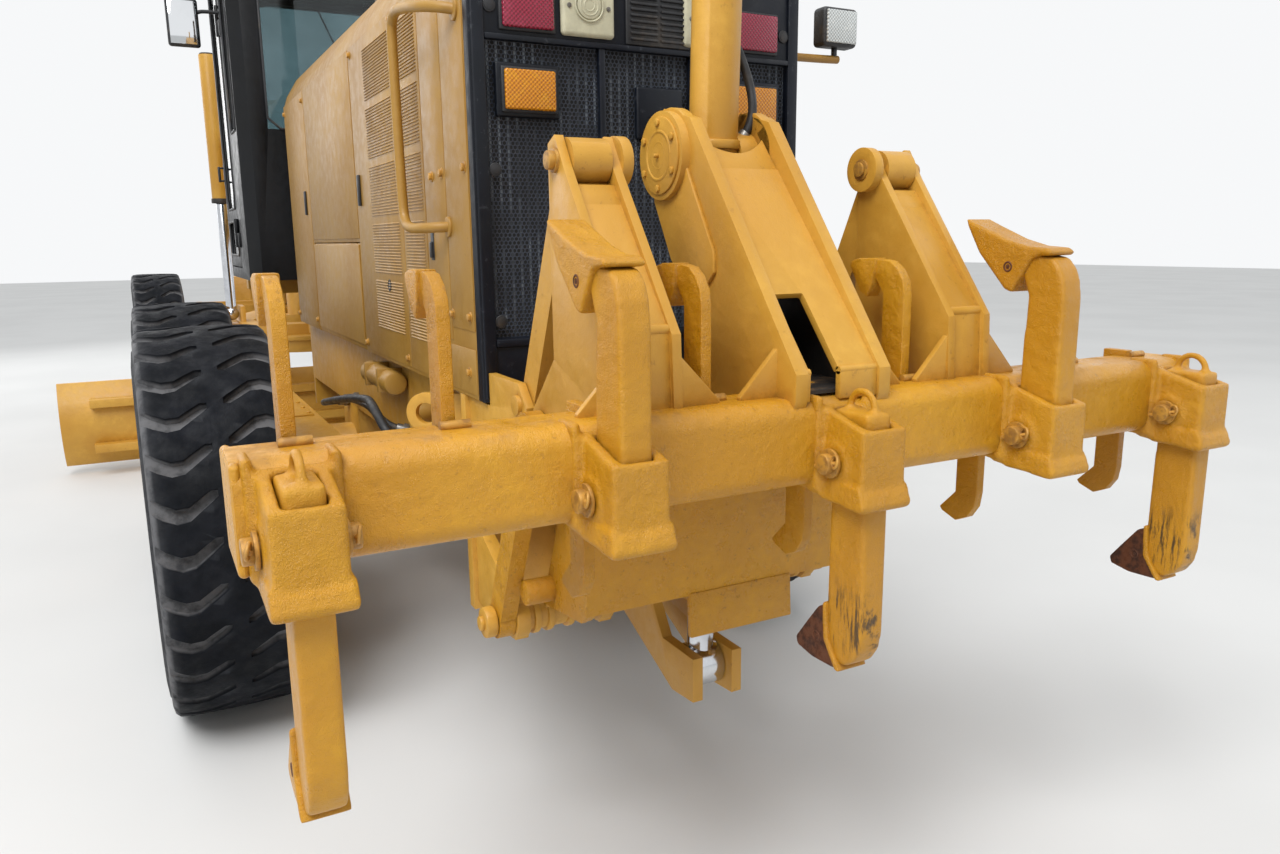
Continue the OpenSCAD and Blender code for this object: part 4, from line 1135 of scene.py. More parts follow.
@dataclass
class RipperSizes:
    """Places on the ripper, as in the part's source."""

    beam_x: float = -2745.0
    beam_w: float = 175.0
    beam_z: float = 1150.0
    beam_h: float = 182.0
    beam_l: float = 2310.0
    pocket_pitch: float = 534.0
    pocket_w: float = 110.0
    pin_x: float = -2958.0
    pin_z: float = 1208.0
    shank_front: float = -2923.0
    shank_back: float = -3027.0
    up_x: float = -2575.0
    up_z: float = 1808.0
    trunnion_x: float = -2417.0
    trunnion_z: float = 1839.0
    eye_x: float = -2360.0
    eye_z: float = 520.0
    pivot_x: float = -2200.0
    pivot_z: float = 690.0
    slope_x: float = -2545.0
    slope_z: float = 1800.0
    slope_deg: float = 40.25
    scarifier_x: float = -2815.0
    scarifier_first: float = 1056.0
    scarifier_pitch: float = 264.0
    side_inner: float = 366.0
    side_outer: float = 458.0
    hanging: tuple[bool, ...] = (True, False, True, False, True)


class Ripper(Assembly):
    """The ripper's beam with its pockets, shanks, towers and pins."""

    size = RipperSizes()

    def build(self) -> None:
        """Model and hand over the ripper's pieces."""
        self.beam()
        self.pockets()
        self.shanks()
        self.tips()
        self.scarifiers()
        self.towers()
        self.pins()

    def beam(self) -> None:
        """The long square tube with its rounded end plates."""
        s = self.size
        parts = [Bench.soften(Bench.merged("ripper_beam", "beam_tube"), 2, 2, 30)]
        top, back = s.beam_z + s.beam_h, s.beam_x - s.beam_w
        for side in (1, -1):
            y = side * (s.beam_l / 2 - 16)
            parts.append(Bench.box("beam_end", (back + 2, y, s.beam_z + 2), (s.beam_x - 2, y + side * 18, top - 2),
                                   34, 6))
        self.fit("ripper_beam_tube", parts, "ripper", self.finishes.beam, Slot.YELLOW, "ripper_beam")

    def pockets(self) -> None:
        """The five cast pockets with their raised mouths, their bosses and the collars at the beam."""
        s = self.size
        half, front = s.pocket_w / 2, s.beam_x - s.beam_w
        parts = [Bench.merged("ripper_pockets", "pocket_skin")]
        for i in range(-2, 3):
            y = i * s.pocket_pitch
            for z, grow, tall in ((s.beam_z - 24, 9, 20), (s.beam_z - 6, 5, 16)):
                back, out = s.shank_back - 22 - grow, half + grow
                for right, end, left in ((y - out, front - 2, y - half + 20), (y + half - 20, front - 2, y + out),
                                         (y - out, s.shank_back - 6, y + out)):
                    parts.append(Bench.box("lip", (back, right, z), (end, left, z + tall), 6))
            for side in (-1, 1):
                parts.append(Bench.rod("boss", (s.pin_x, y + side * (half - 6), s.pin_z),
                                       (s.pin_x, y + side * (half + 5), s.pin_z), 44, 36, 4))
            for side in (-1, 1):
                edge = y + side * (half + 10)
                parts.append(Bench.box("collar", (front - 9, edge - 9, s.beam_z - 9),
                                       (front + 70, edge + 9, s.beam_z + s.beam_h + 8), 16, 4))
        skin = Bench.cast(Bench.join("ripper_pocket_castings", parts), 4.5, 12)
        self.hand_over(skin, "ripper", self.finishes.casting, Slot.YELLOW, "ripper_pockets")

    def side_view(self, name: str, points: list[tuple[float, float]], down: bool, y: float, half: float) -> Piece:
        """A plate cut to a shank's side view.

        Args:
            name: the piece's name.
            points: forward of the shank's front edge, and from its pin towards its nose.
            down: whether the nose hangs down.
            y: the middle of the shank.
            half: half its thickness.

        Returns:
            The plate.
        """
        s = self.size
        outline = [(s.shank_front + u, s.pin_z - v if down else s.pin_z + v) for u, v in points]
        return Bench.plate(name, outline, Across.Y, y - half, y + half, 3)

    def shanks(self) -> None:
        """The five shanks, of which three hang down with a lifting eye and two are parked nose up."""
        s = self.size
        deep = s.shank_back - s.shank_front
        hanging = [(0, -104), (deep, -104), (deep, 352), (deep + 8, 392), (deep + 26, 420), (deep + 52, 437),
                   (-10, 440), (30, 418), (6, 330)]
        parked = [(0, -78), (deep, -78), (deep, 300), (deep + 6, 344), (deep + 18, 372), (deep + 38, 393),
                  (-4, 404), (36, 412), (56, 402), (10, 357), (-10, 307), (-4, 200)]
        parts = []
        for i, down in enumerate(s.hanging):
            y = (2 - i) * s.pocket_pitch
            parts.append(self.side_view("shank", hanging if down else parked, down, y, 31))
            if down:
                parts.append(Bench.ring("eye", (s.shank_front + deep / 2, y, s.pin_z + 106), (0, 1, 0), 36, 9))
        skin = Bench.cast(Bench.join("ripper_shank_forgings", parts), 4.5, 16)
        self.hand_over(skin, "ripper", self.finishes.scuffed, Slot.YELLOW, "ripper_shanks")

    def tips(self) -> None:
        """Worn pointed tips on the shanks that hang down, and long chisel tips on the parked ones."""
        s, f = self.size, self.finishes
        worn = [(2, 320), (26, 328), (62, 374), (100, 424), (94, 442), (40, 452), (-40, 448), (-6, 392)]
        lip = [(-2, 312), (10, 312), (4, 394), (-28, 440), (-38, 452), (-50, 450), (-10, 390)]
        chisel = [(174, 482), (129, 463), (54, 433), (-4, 418), (-58, 414), (-72, 404), (-64, 397),
                  (-39, 397), (-18, 389), (-4, 366), (20, 332), (30, 314), (52, 322), (131, 404), (166, 462)]
        rusty, painted, holes = [], [], []
        for i, down in enumerate(s.hanging):
            y = (2 - i) * s.pocket_pitch
            if down:
                tip = self.side_view("worn_tip", worn, True, y, 37)
                (painted if i == 0 else rusty).append(tip)
                painted.append(self.side_view("tip_lip", lip, True, y, 40))
            else:
                painted.append(self.side_view("chisel_tip", chisel, False, y, 40))
            u, v = (28, 396) if down else (42, 372)
            for side in (-1, 1):
                spot = (s.shank_front + u, y + side * (36 if down else 39), s.pin_z - v if down else s.pin_z + v)
                holes.append(Bench.ring("tip_hole", spot, (0, 1, 0), 10, 2.6, 24))
                holes.append(Bench.rod("tip_pin", spot, (spot[0], spot[1] + side * 2, spot[2]), 5.5, 14, 0.6))
        skin = Bench.cast(Bench.join("worn_tips", rusty), 3.5, 8)
        self.hand_over(skin, "ripper", f.rust, Slot.WEAR, "shank_tips")
        self.hand_over(Bench.cast(Bench.join("painted_tips", painted), 3.5, 8), "ripper", f.casting, Slot.YELLOW)
        self.fit("tip_pins", holes, "ripper", f.rust, Slot.STEEL)

    def scarifiers(self) -> None:
        """The nine scarifier shanks with a tip block and a recess pressed into both sides."""
        s = self.size
        block = [(94, 1602), (150, 1601), (176, 1595), (180, 1582), (142, 1524), (118, 1512), (102, 1545)]
        blocks = []
        for i in (0, 1, 3, 5, 7):
            y = s.scarifier_first - i * s.scarifier_pitch
            outline = [(s.scarifier_x + u, z) for u, z in block]
            blocks.append(Bench.plate("tip_block", outline, Across.Y, y - 19, y + 19, 4))
        piece = Bench.merged("scarifier_shanks", "scarifier_shank_forgings")
        Bench.open(piece)
        bpy.ops.mesh.select_all(action="DESELECT")
        Bench.close()
        for face in piece.data.polygons:
            face.select = abs(face.normal.y) > 0.99
        bpy.ops.object.mode_set(mode="EDIT")
        bpy.ops.mesh.inset(thickness=0.012, depth=0, use_even_offset=True)
        bpy.ops.mesh.inset(thickness=0.003, depth=-0.003, use_even_offset=True)
        Bench.close()
        Bench.soften(piece, 4, 3, 30)
        self.fit("scarifier_set", [piece] + blocks, "ripper", self.finishes.casting, Slot.YELLOW, "scarifier_shanks")

    def towers(self) -> None:
        """The three towers with the window and the curved top edge of the middle one."""
        s = self.size
        slope = (s.slope_x, 0, s.slope_z)
        solids = Bench.loose(Bench.merged("ripper_towers", "ripper_tower_plates"))
        spans = {o: [v.co.y for v in o.data.vertices] for o in solids}
        middle = next(o for o, ys in spans.items() if 0.05 < max(ys) < 0.3 and min(ys) < -0.05)
        window = Bench.box("window_cut", (s.slope_x - 30, 5, s.slope_z - 640),
                           (s.slope_x + 30, 80, s.slope_z - 355), 4, 2)
        Bench.carve(middle, Bench.turned(window, slope, s.slope_deg))
        parts = [Bench.soften(Bench.join("ripper_tower_weldments", solids), 3.5, 2, 28)]
        for side in Side:
            parts += self.tower_trim(side.value)
        curve = [(92 * k / 12, 49 + 47 * (k / 12) ** 2) for k in range(-12, 13)]
        scoop = [(y, s.slope_z + t) for y, t in [(-92, -10)] + curve + [(92, -10)]]
        piece = Bench.plate("curved_top", scoop, Across.X, s.slope_x - 7.5, s.slope_x + 7.5, 2)
        parts.append(Bench.turned(piece, slope, s.slope_deg))
        for low, high in ((-93, 5), (80, 93)):
            parts += [Bench.box("foot_strip", (-2911, low, 1326), (-2895, high, 1384)),
                      Bench.rod("foot_round", (-2903, low, 1384), (-2903, high, 1384), 8.4, 28, 0)]
        self.fit("ripper_towers_painted", parts, "ripper", self.finishes.yellow, Slot.YELLOW, "ripper_towers")
        # Dark plates inside the middle tower give it painted shade.
        self.shade_liner()
        self.caps()

    def tower_trim(self, y: int) -> list[Piece]:
        """What is added on one side: strips and beads on the side tower, a doubler and the trunnion's plate.

        Args:
            y: 1 on the left and -1 on the right.

        Returns:
            The pieces.
        """
        s = self.size
        wide = sorted((y * s.side_inner, y * s.side_outer))
        (x0, z0), (x1, z1) = [(-2639 + 0.6205 * t, 1722 + 0.7843 * t) for t in (-12, 42)]
        strip = [(x0 - 6.3, z0 + 5), (x1 - 6.3, z1 + 5), (x1 + 6.3, z1 - 5), (x0 + 6.3, z0 - 5)]
        doubler = [(-2496, 1832), (-2546, 1748), (-2624, 1622), (-2627, 1576), (-2570, 1523),
                   (-2505, 1545), (-2440, 1602), (-2362, 1736), (-2350, 1840)]
        back = [(-2824, 1482), (-2842, 1490), (-2851, 1326), (-2833, 1326)]
        parts = [Bench.plate("top_strip", strip, Across.Y, *wide, 2),
                 Bench.plate("doubler", doubler, Across.Y, *sorted((y * 121, y * 131)), 3),
                 Bench.rod("trunnion_plate", (s.trunnion_x, y * 92, s.trunnion_z),
                           (s.trunnion_x, y * 122.5, s.trunnion_z), 108, 64, 4),
                 Bench.plate("back_plate", back, Across.Y, *wide, 2),
                 Bench.rod("back_corner", (-2834, y * s.side_inner, 1481), (-2834, y * s.side_outer, 1481),
                           11, 28, 0)]
        for spot in (362, 462):
            parts.append(Bench.rod("corner_bead", (-2851, y * spot, 1330), (-2843, y * spot, 1470), 6, 12, 0))
        return parts

    def shade_liner(self) -> None:
        """Dark plates inside the middle tower: painted shade that shows through its window."""
        cheek = [(-2892, 1372), (-2702, 1597), (-2560, 1560), (-2530, 1470), (-2604, 1343),
                 (-2892, 1343)]
        front = [(-2542, 1474), (-2530, 1470), (-2604, 1343), (-2616, 1343)]
        inside = [Bench.plate("shade_liner", cheek, Across.Y, *sorted((y * 88, y * 91)), 0.5) for y in (-1, 1)]
        inside += [Bench.plate("shade_liner_front", front, Across.Y, -90, 90, 0.5),
                   Bench.box("shade_liner_floor", (-2894, -90, 1337), (-2606, 90, 1346), 0.5, 1)]
        self.fit("tower_inside_shade", inside, "ripper", self.finishes.dark, Slot.CAST)

    def caps(self) -> None:
        """The trunnions' caps with their rings, grease nipples and bolts."""
        x, z = self.size.trunnion_x, self.size.trunnion_z
        caps = []
        for side in Side:
            y = side.value
            caps += [Bench.rod("cap", (x, y * 143, z), (x, y * 150, z), 88, 48, 3),
                     Bench.ring("cap_rim", (x, y * 146, z), (0, 1, 0), 54, 6),
                     Bench.ring("cap_ring", (x, y * 147, z), (0, 1, 0), 30, 3.5),
                     Bench.rod("nipple", (x, y * 146, z), (x, y * 162, z), 5, 10, 1.5)]
            for k in range(6):
                turn = math.radians(30 + 60 * k)
                spot = (x + 74 * math.cos(turn), y * 149, z + 74 * math.sin(turn))
                caps.append(Bench.bolt("cap_bolt", spot, (0, y, 0), 8, False))
        self.fit("trunnion_caps", caps, "ripper", self.finishes.yellow, Slot.YELLOW)

    def pins(self) -> None:
        """All the pins with their washers, locking rings and split pins."""
        s = self.size
        x, z = s.pin_x, s.pin_z
        parts = [Bench.soften(Bench.merged("ripper_pins", "pin_bars"), 2.5, 2, 30)]
        for i in range(-2, 3):
            for side in (-1, 1):
                y = i * s.pocket_pitch + side * 62
                parts += [Bench.rod("washer", (x, y, z), (x, y + side * 7, z), 30, 28, 1.5),
                          Bench.rod("head", (x, y + side * 6, z), (x, y + side * 24, z), 21, 28, 3),
                          Bench.rod("split", (x - 34, y + side * 14, z + 8), (x + 32, y + side * 14, z - 10),
                                    4, 10, 1),
                          Bench.ring("loop", (x - 30, y + side * 16, z + 10), (0.3, 1, 0.2), 12, 3.2, 20)]
        for side in Side:
            y = side.value
            parts += [Bench.rod("hub_face", (s.up_x, y * 318, s.up_z), (s.up_x, y * 312, s.up_z), 17, 28, 1.5),
                      Bench.rod("hub_end", (s.up_x, y * 478, s.up_z), (s.up_x, y * 496, s.up_z), 19, 28, 2.5)]
        self.fit("ripper_pin_set", parts, "ripper", self.finishes.pin, Slot.STEEL, "ripper_pins")


class RipperLift(Assembly):
    """The mount, the links and the lift cylinder."""

    size = RipperSizes()

    def build(self) -> None:
        """Model and hand over the pieces that carry the ripper."""
        yellow = self.finishes.yellow
        self.mount()
        self.hand_over(
            Bench.welded("upper_links", "upper_link_arms", 5), "upper_links", yellow, Slot.YELLOW, "upper_links")
        self.lower_link()
        self.cylinder()
        self.ram_hose()

    def mount(self) -> None:
        """The mount with the ears, tubes, rings and pin heads of the lower pivots."""
        x, z = self.size.pivot_x, self.size.pivot_z
        parts = [Bench.welded("ripper_mount", "ripper_mount_plates", 3)]
        rounds = [("ear", 201, 239, 56, 48, 4), ("ear", 440, 478, 56, 48, 4),
                  ("pivot_tube", 236, 443, 43, 48, 2)]
        rounds += [("pivot_ring", y - 9, y + 9, 52, 48, 4) for y in (264, 322, 380, 418)]
        rounds += [("pin_head", 522, 552, 40, 40, 5), ("pin_end", 550, 562, 19, 28, 2)]
        for side in Side:
            for name, low, high, *shape in rounds:
                parts.append(Bench.rod(name, (x, side.value * low, z), (x, side.value * high, z), *shape))
        self.fit("ripper_mount_weldment", parts, "rear", self.finishes.yellow, Slot.YELLOW, "ripper_mount")

    def lower_link(self) -> None:
        """The lower link: its two arms, and the wide box between them that stays behind the rod."""
        web = [(-2262, 738), (-2278, 729), (-2452, 1100), (-2436, 1110)]
        rib = [(-2262, 738), (-2500, 770), (-2541, 800), (-2596, 1092), (-2436, 1110)]
        apron = [(-2538, 806), (-2554, 804), (-2610, 1100), (-2594, 1103)]
        tongue = [(-2549, 700), (-2565, 700), (-2558, 812), (-2542, 812)]
        parts = [Bench.welded("lower_link", "lower_link_arms", 5),
                 Bench.plate("apron", apron, Across.Y, -424, 424, 4),
                 Bench.plate("tongue", tongue, Across.Y, -150, 150, 4)]
        for side in Side:
            y = side.value
            for name, outline, low, high in (("web", web, 106, 410), ("rib", rib, 106, 120), ("rib", rib, 396, 412)):
                parts.append(Bench.plate(name, outline, Across.Y, *sorted((y * low, y * high)), 3))
            for x, z in ((-2325, 800), (-2438, 1072)):
                parts.append(Bench.rod("cross_tube", (x, y * 400, z), (x, y * 484, z), 32, 36, 3))
        self.hand_over(
            Bench.join("lower_link_weldment", parts), "lower_link", self.finishes.casting, Slot.YELLOW, "lower_link")

    def ram_hose(self) -> None:
        """The hose that runs down beside the barrel to its lower port."""
        route = [(-2362, -52, 2170), (-2380, -84, 2112), (-2405, -98, 2050), (-2427, -102, 1992),
                 (-2438, -98, 1942), (-2437, -84, 1902), (-2428, -62, 1872)]
        self.hose("ram_hose", route, 11, "ripper_barrel")

    def cylinder(self) -> None:
        """The barrel with its collar, gland and ports, and the chromed rod."""
        s, f = self.size, self.finishes
        foot, head = Vector((s.eye_x, 0, s.eye_z)), Vector((s.trunnion_x, 0, s.trunnion_z))
        up = (head - foot).normalized()

        def on(height: float) -> Point:
            """A point on the cylinder's line, this many millimetres above the trunnion."""
            return tuple(head + up * height)

        x, y, z = on(960)
        parts = [Bench.welded("ripper_barrel", "barrel", 4),
                 Bench.rod("collar", on(18), on(40), 66, 48, 4),
                 Bench.rod("gland", on(-76), on(-58), 60, 48, 3),
                 Bench.rod("cap", on(1036), on(1046), 48, 40, 3),
                 Bench.rod("port", (x - 40, y, z), (x - 82, y, z), 17, 6, 1.5)]
        self.fit("ripper_cylinder_barrel", parts, "ripper_barrel", f.yellow, Slot.YELLOW, "ripper_barrel")
        rod = Bench.welded("ripper_rod", "ripper_cylinder_rod", 3)
        self.hand_over(rod, "ripper_rod", f.chrome, Slot.STEEL, "ripper_rod")


@dataclass
class GrilleSizes:
    """Places on the rear grille, as in the part's source."""

    face_x: float = -2098.0
    low_z: float = 1240.0
    pane_low: float = 1404.0
    pane_high: float = 2130.0
    lamp_y: float = 270.0
    lamp_w: float = 136.0
    lamp_h: float = 97.0
    stop_z: float = 2157.0
    turn_z: float = 1966.0
    alarm_y: float = 103.0
    alarm_w: float = 147.0
    alarm_h: float = 139.0


class RearGrille(Assembly):
    """The rear grille with its lamps, alarm boxes, vent and latch."""

    size = GrilleSizes()

    def build(self) -> None:
        """Model and hand over the grille's pieces."""
        self.frame()
        self.plugs()
        self.lamps()
        self.alarms()
        self.vent()
        self.repaint("radiator_core", self.finishes.dark)

    def frame(self) -> None:
        """The frame with its perforated panes, and the rails and beds on it."""
        g, f = self.size, self.finishes
        x = g.face_x
        body = Bench.welded("rear_grille", "grille_frame", 4)
        body.data.materials.append(f.navy)
        body.data.materials.append(f.perforated)
        for face in body.data.polygons:
            spot = drawn(face.center)
            inner = x + 12 < spot.x < x + 20 and abs(face.normal.x) > 0.9
            if inner and g.pane_low < spot.z < g.pane_high:
                face.material_index = 1
        self.hand_over(body, "rear", f.navy, Slot.BLACK, "rear_grille")
        rails = []
        for side in Side:
            y = side.value
            rails.append(Bench.box("post", (x - 8, y * 450, g.low_z + 8), (x + 2, y * 484, 2368), 4, 3))
        for low, high in ((g.low_z + 8, g.low_z + 34), (g.pane_low - 22, g.pane_low - 2), (2128, 2142)):
            rails.append(Bench.box("rail", (x - 8, -450, low), (x + 2, 450, high), 3))
        for y in (-135, 135):
            rails.append(Bench.box("rib", (x - 4, y - 9, g.pane_low), (x + 14, y + 9, g.pane_high), 3))
        low, high = g.turn_z - 16, g.turn_z + g.lamp_h + 16
        for y in (340, -340):
            rails.append(Bench.box("lamp_bed", (x - 2, y - 84, low), (x + 16, y + 84, high), 5, 3))
        rails += [Bench.box("latch_bed", (x - 2, -105, 1910), (x + 16, 35, 2044), 6, 3),
                  Bench.box("latch_frame", (x - 9, -66, 1926), (x, -4, 1972), 6, 3)]
        self.fit("grille_rails", rails, "rear", f.navy, Slot.BLACK)

    def plugs(self) -> None:
        """The rubber plugs along both posts, and the latch with its key."""
        x = self.size.face_x
        plugs = []
        for side in Side:
            for z in (1257, 1447, 1823, 2205):
                y = side.value * 434
                plugs += [Bench.rod("plug", (x + 2, y, z), (x - 6, y, z), 13, 28, 2),
                          Bench.ring("plug_rim", (x - 2, y, z), (1, 0, 0), 14, 3, 28)]
        plugs += [Bench.box("latch", (x - 14, -56, 1936), (x - 6, -14, 1962), 5, 3),
                  Bench.rod("key", (x - 13, -44, 1949), (x - 18, -44, 1949), 8, 20, 1)]
        self.fit("grille_plugs", plugs, "rear", self.finishes.plastic, Slot.BLACK)

    def lamps(self) -> None:
        """Four lamps, each a housing with a rim and a lens that stands out."""
        g, f = self.size, self.finishes
        x = g.face_x
        rims, red, amber = [], [], []
        for side in Side:
            y0, y1 = sorted((side.value * g.lamp_y, side.value * (g.lamp_y + g.lamp_w)))
            for z, lenses in ((g.stop_z, red), (g.turn_z, amber)):
                top = z + g.lamp_h
                rims.append(Bench.box("lamp_rim", (x - 9, y0 - 6, z - 6), (x + 14, y1 + 6, top + 6), 4, 3))
                lenses.append(Bench.box("lens", (x - 19, y0 + 1, z + 1), (x - 7, y1 - 1, top - 1), 5, 4))
        self.fit("lamp_rims", rims, "rear", f.plastic, Slot.BLACK, "rear_lamps")
        self.fit("red_lenses", red, "rear", f.red_lens, Slot.LAMP)
        self.fit("amber_lenses", amber, "rear", f.amber_lens, Slot.LAMP)

    def alarms(self) -> None:
        """The cream boxes with a round sounder and two screws."""
        g, f = self.size, self.finishes
        parts, screws = [], []
        x, z = g.face_x - 18, g.stop_z - 6
        disc, screw = z + 74, z + 70
        for side in Side:
            y0, y1 = sorted((side.value * g.alarm_y, side.value * (g.alarm_y + g.alarm_w)))
            mid = (y0 + y1) / 2
            parts += [Bench.box("alarm", (x, y0, z), (x + 22, y1, z + g.alarm_h), 12, 5),
                      Bench.rod("disc", (x + 2, mid, disc), (x - 4, mid, disc), 33, 48, 2)]
            parts += [Bench.ring("groove", (x - 3, mid, disc), (1, 0, 0), radius, 2.2, 48) for radius in (38, 24, 14)]
            screws += [Bench.rod("screw", (x + 1, y, screw), (x - 3, y, screw), 6, 18, 1.5)
                       for y in (mid - 54, mid + 54)]
        self.fit("alarm_boxes", parts, "rear", f.cream, Slot.BLACK)
        self.fit("alarm_screws", screws, "rear", f.steel, Slot.STEEL)

    def vent(self) -> None:
        """The louvred vent beside the left cream box."""
        x = self.size.face_x
        parts = [Bench.box("vent_frame", (x - 6, -126, 2144), (x + 2, 66, 2296), 5, 3)]
        for low, high in ((-116, -36), (-26, 54)):
            for k in range(9):
                z = 2156 + 14.5 * k
                parts.append(Bench.box("slat", (x - 12, low, z), (x - 4, high, z + 6.5)))
        self.fit("vent_louvres", parts, "rear", self.finishes.plastic, Slot.BLACK)


@dataclass
class HoodSizes:
    """Places on the hood, as in the part's source."""

    half_w: float = 489.0
    sheet: float = 3.0


class Hood(Assembly):
    """The hood with its doors, louvres, handles and bolts, and what stands on it."""

    size = HoodSizes()

    def build(self) -> None:
        """Model and hand over the hood's pieces."""
        f = self.finishes
        self.hand_over(Bench.welded("hood", "hood_shell", 6), "rear", f.hood, Slot.YELLOW, "hood")
        self.hand_over(Bench.welded("side_tanks", "side_tank_boxes", 10), "rear", f.hood, Slot.YELLOW, "side_tanks")
        self.doors()
        self.louvres()
        self.handles()
        self.stack()
        self.repaint("engine_block", f.dark)

    def doors(self) -> None:
        """Side doors as sheets on the hood, with their bolts, latches and the round hole's rubber."""
        h, f = self.size, self.finishes
        y0, y1 = h.half_w - 1, h.half_w + h.sheet
        sheets = [Bench.box("sheet", (x0, y0, z0), (x1, y1, z1), 3) for x0, x1, z0, z1 in (
            (-2056, -1866, 1420, 2330), (-2056, -1846, 1252, 1372), (-1860, -1664, 1384, 2330),
            (-1656, -1398, 1254, 2330), (-1392, -742, 1254, 2330), (-728, 284, 1664, 2330),
            (296, 884, 1254, 2330))]
        sheets += [Bench.box("tank_lid", (-716, y0, 1262), (270, y1 + 2, 1642), 5, 3),
                   Bench.rod("tank_cap", (60, h.half_w - 40, 1640), (60, h.half_w - 40, 1676), 34, 28, 4)]
        self.fit("hood_sheets", Bench.both(*sheets), "rear", f.hood, Slot.YELLOW)
        bolts = [Bench.bolt("door_bolt", (x, y1, z), (0, 1, 0), 9) for x, z in (
            (-1740, 1827), (-1838, 1830), (-2034, 1832), (-1880, 1456), (-2030, 1456), (-2004, 1310),
            (-1880, 2296), (-2034, 2296), (-1700, 1420), (-1700, 2290), (-1370, 1280), (-770, 1280),
            (-1370, 2306), (-770, 2306), (320, 1290), (860, 1290), (320, 2290), (860, 2290))]
        self.fit("hood_bolts", Bench.both(*bolts), "rear", f.pin, Slot.STEEL)
        dark = [Bench.box("latch_bed", (-1730, y1 - 1, 1598), (-1700, y1 + 2, 1690), 3),
                Bench.box("latch_arm", (-1724, y1, 1604), (-1706, y1 + 9, 1650), 4),
                Bench.rod("sight_hole", (-1172, y1 - 1, 1506), (-1172, y1 + 1.5, 1506), 17, 28, 0.6),
                Bench.ring("sight_rim", (-1172, y1 + 1, 1506), (0, 1, 0), 18, 2.4, 28)]
        dark += [Bench.box("door_pull", (x, y1, 1780), (x + 26, y1 + 10, 1890), 4) for x in (-820, 380)]
        self.fit("hood_latches", Bench.both(*dark), "rear", f.plastic, Slot.BLACK)

    def louvres(self) -> None:
        """Pressed louvres in five groups on each of two doors."""
        y = self.size.half_w
        parts = []
        for x0, x1 in ((-1636, -1424), (-1350, -974)):
            for group in range(5):
                z = 1356 + group * 192
                outline = [(y + 1, z), (y + 1, z + 6), (y + 6.5, z + 0.5)]
                slat = Bench.plate("louvre", outline, Across.X, x0, x1, 0.6)
                Bench.apply(slat, "ARRAY", count=18, use_relative_offset=False, use_constant_offset=True,
                            constant_offset_displace=(0, 0, 0.0094))
                parts += Bench.both(slat)
        self.fit("hood_louvres", parts, "rear", self.finishes.hood, Slot.YELLOW)

    def handles(self) -> None:
        """The bent grab handles and the steps under them."""
        step = Bench.box("step", (-1858, 432, 986), (-1502, 600, 1009), 3)
        cleats = [Bench.box("cleat", (x, 440, 1008), (x + 14, 592, 1013))
                  for x in (-1850 + 40 * k for k in range(9))]
        bend = [(-2010, 489, 2208), (-1990, 522, 2214), (-1940, 552, 2223), (-1860, 564, 2236),
                (-1745, 564, 2252), (-1694, 564, 2240), (-1676, 564, 2196), (-1678, 564, 2000),
                (-1688, 564, 1765), (-1712, 564, 1704), (-1770, 562, 1687), (-1835, 548, 1686),
                (-1870, 520, 1687), (-1880, 489, 1688)]
        handle = Bench.tube("handle", Bench.line(bend, 6), 14, 4)
        feet = [Bench.rod("foot", (x, 490, z), (x, 498, z), 27, 24, 2) for x, _, z in (bend[0], bend[-1])]
        parts = Bench.both(step, handle, *cleats, *feet)
        self.fit("grab_handles_and_steps", parts, "rear", self.finishes.hood, Slot.YELLOW, "grab_rails")

    def stack(self) -> None:
        """The exhaust with its bands, and the air cleaner's bowl."""
        parts = [Bench.welded("exhaust_stack", "exhaust_and_air_cleaner", 6)]
        parts += [Bench.rod("band", (-200, 180, z), (-200, 180, z + 14), 74, 40, 3) for z in (2500, 2590, 2680)]
        for name, spot, radius, thick in (("base", (-200, 180, 2474), 84, 8), ("base", (300, -200, 2474), 100, 8),
                                          ("bowl", (300, -200, 2690), 118, 7)):
            parts.append(Bench.ring(name, spot, (0, 0, 1), radius, thick, 40))
        self.fit("exhaust_and_cleaner", parts, "rear", self.finishes.soot, Slot.STEEL, "exhaust_stack")


@dataclass
class WheelSizes:
    """Sizes of one wheel."""

    radius: float = 685.0
    half_w: float = 222.0
    axle_z: float = 684.06
    half_track: float = 1070.0
    tandem_half: float = 761.5
    wheelbase: float = 6086.0
    grooves: int = 30
    depth: float = 27.0
    bottom_share: float = 0.36
    top_share: float = 0.56
    nut_circle: float = 215.0
    cap_circle: float = 104.0


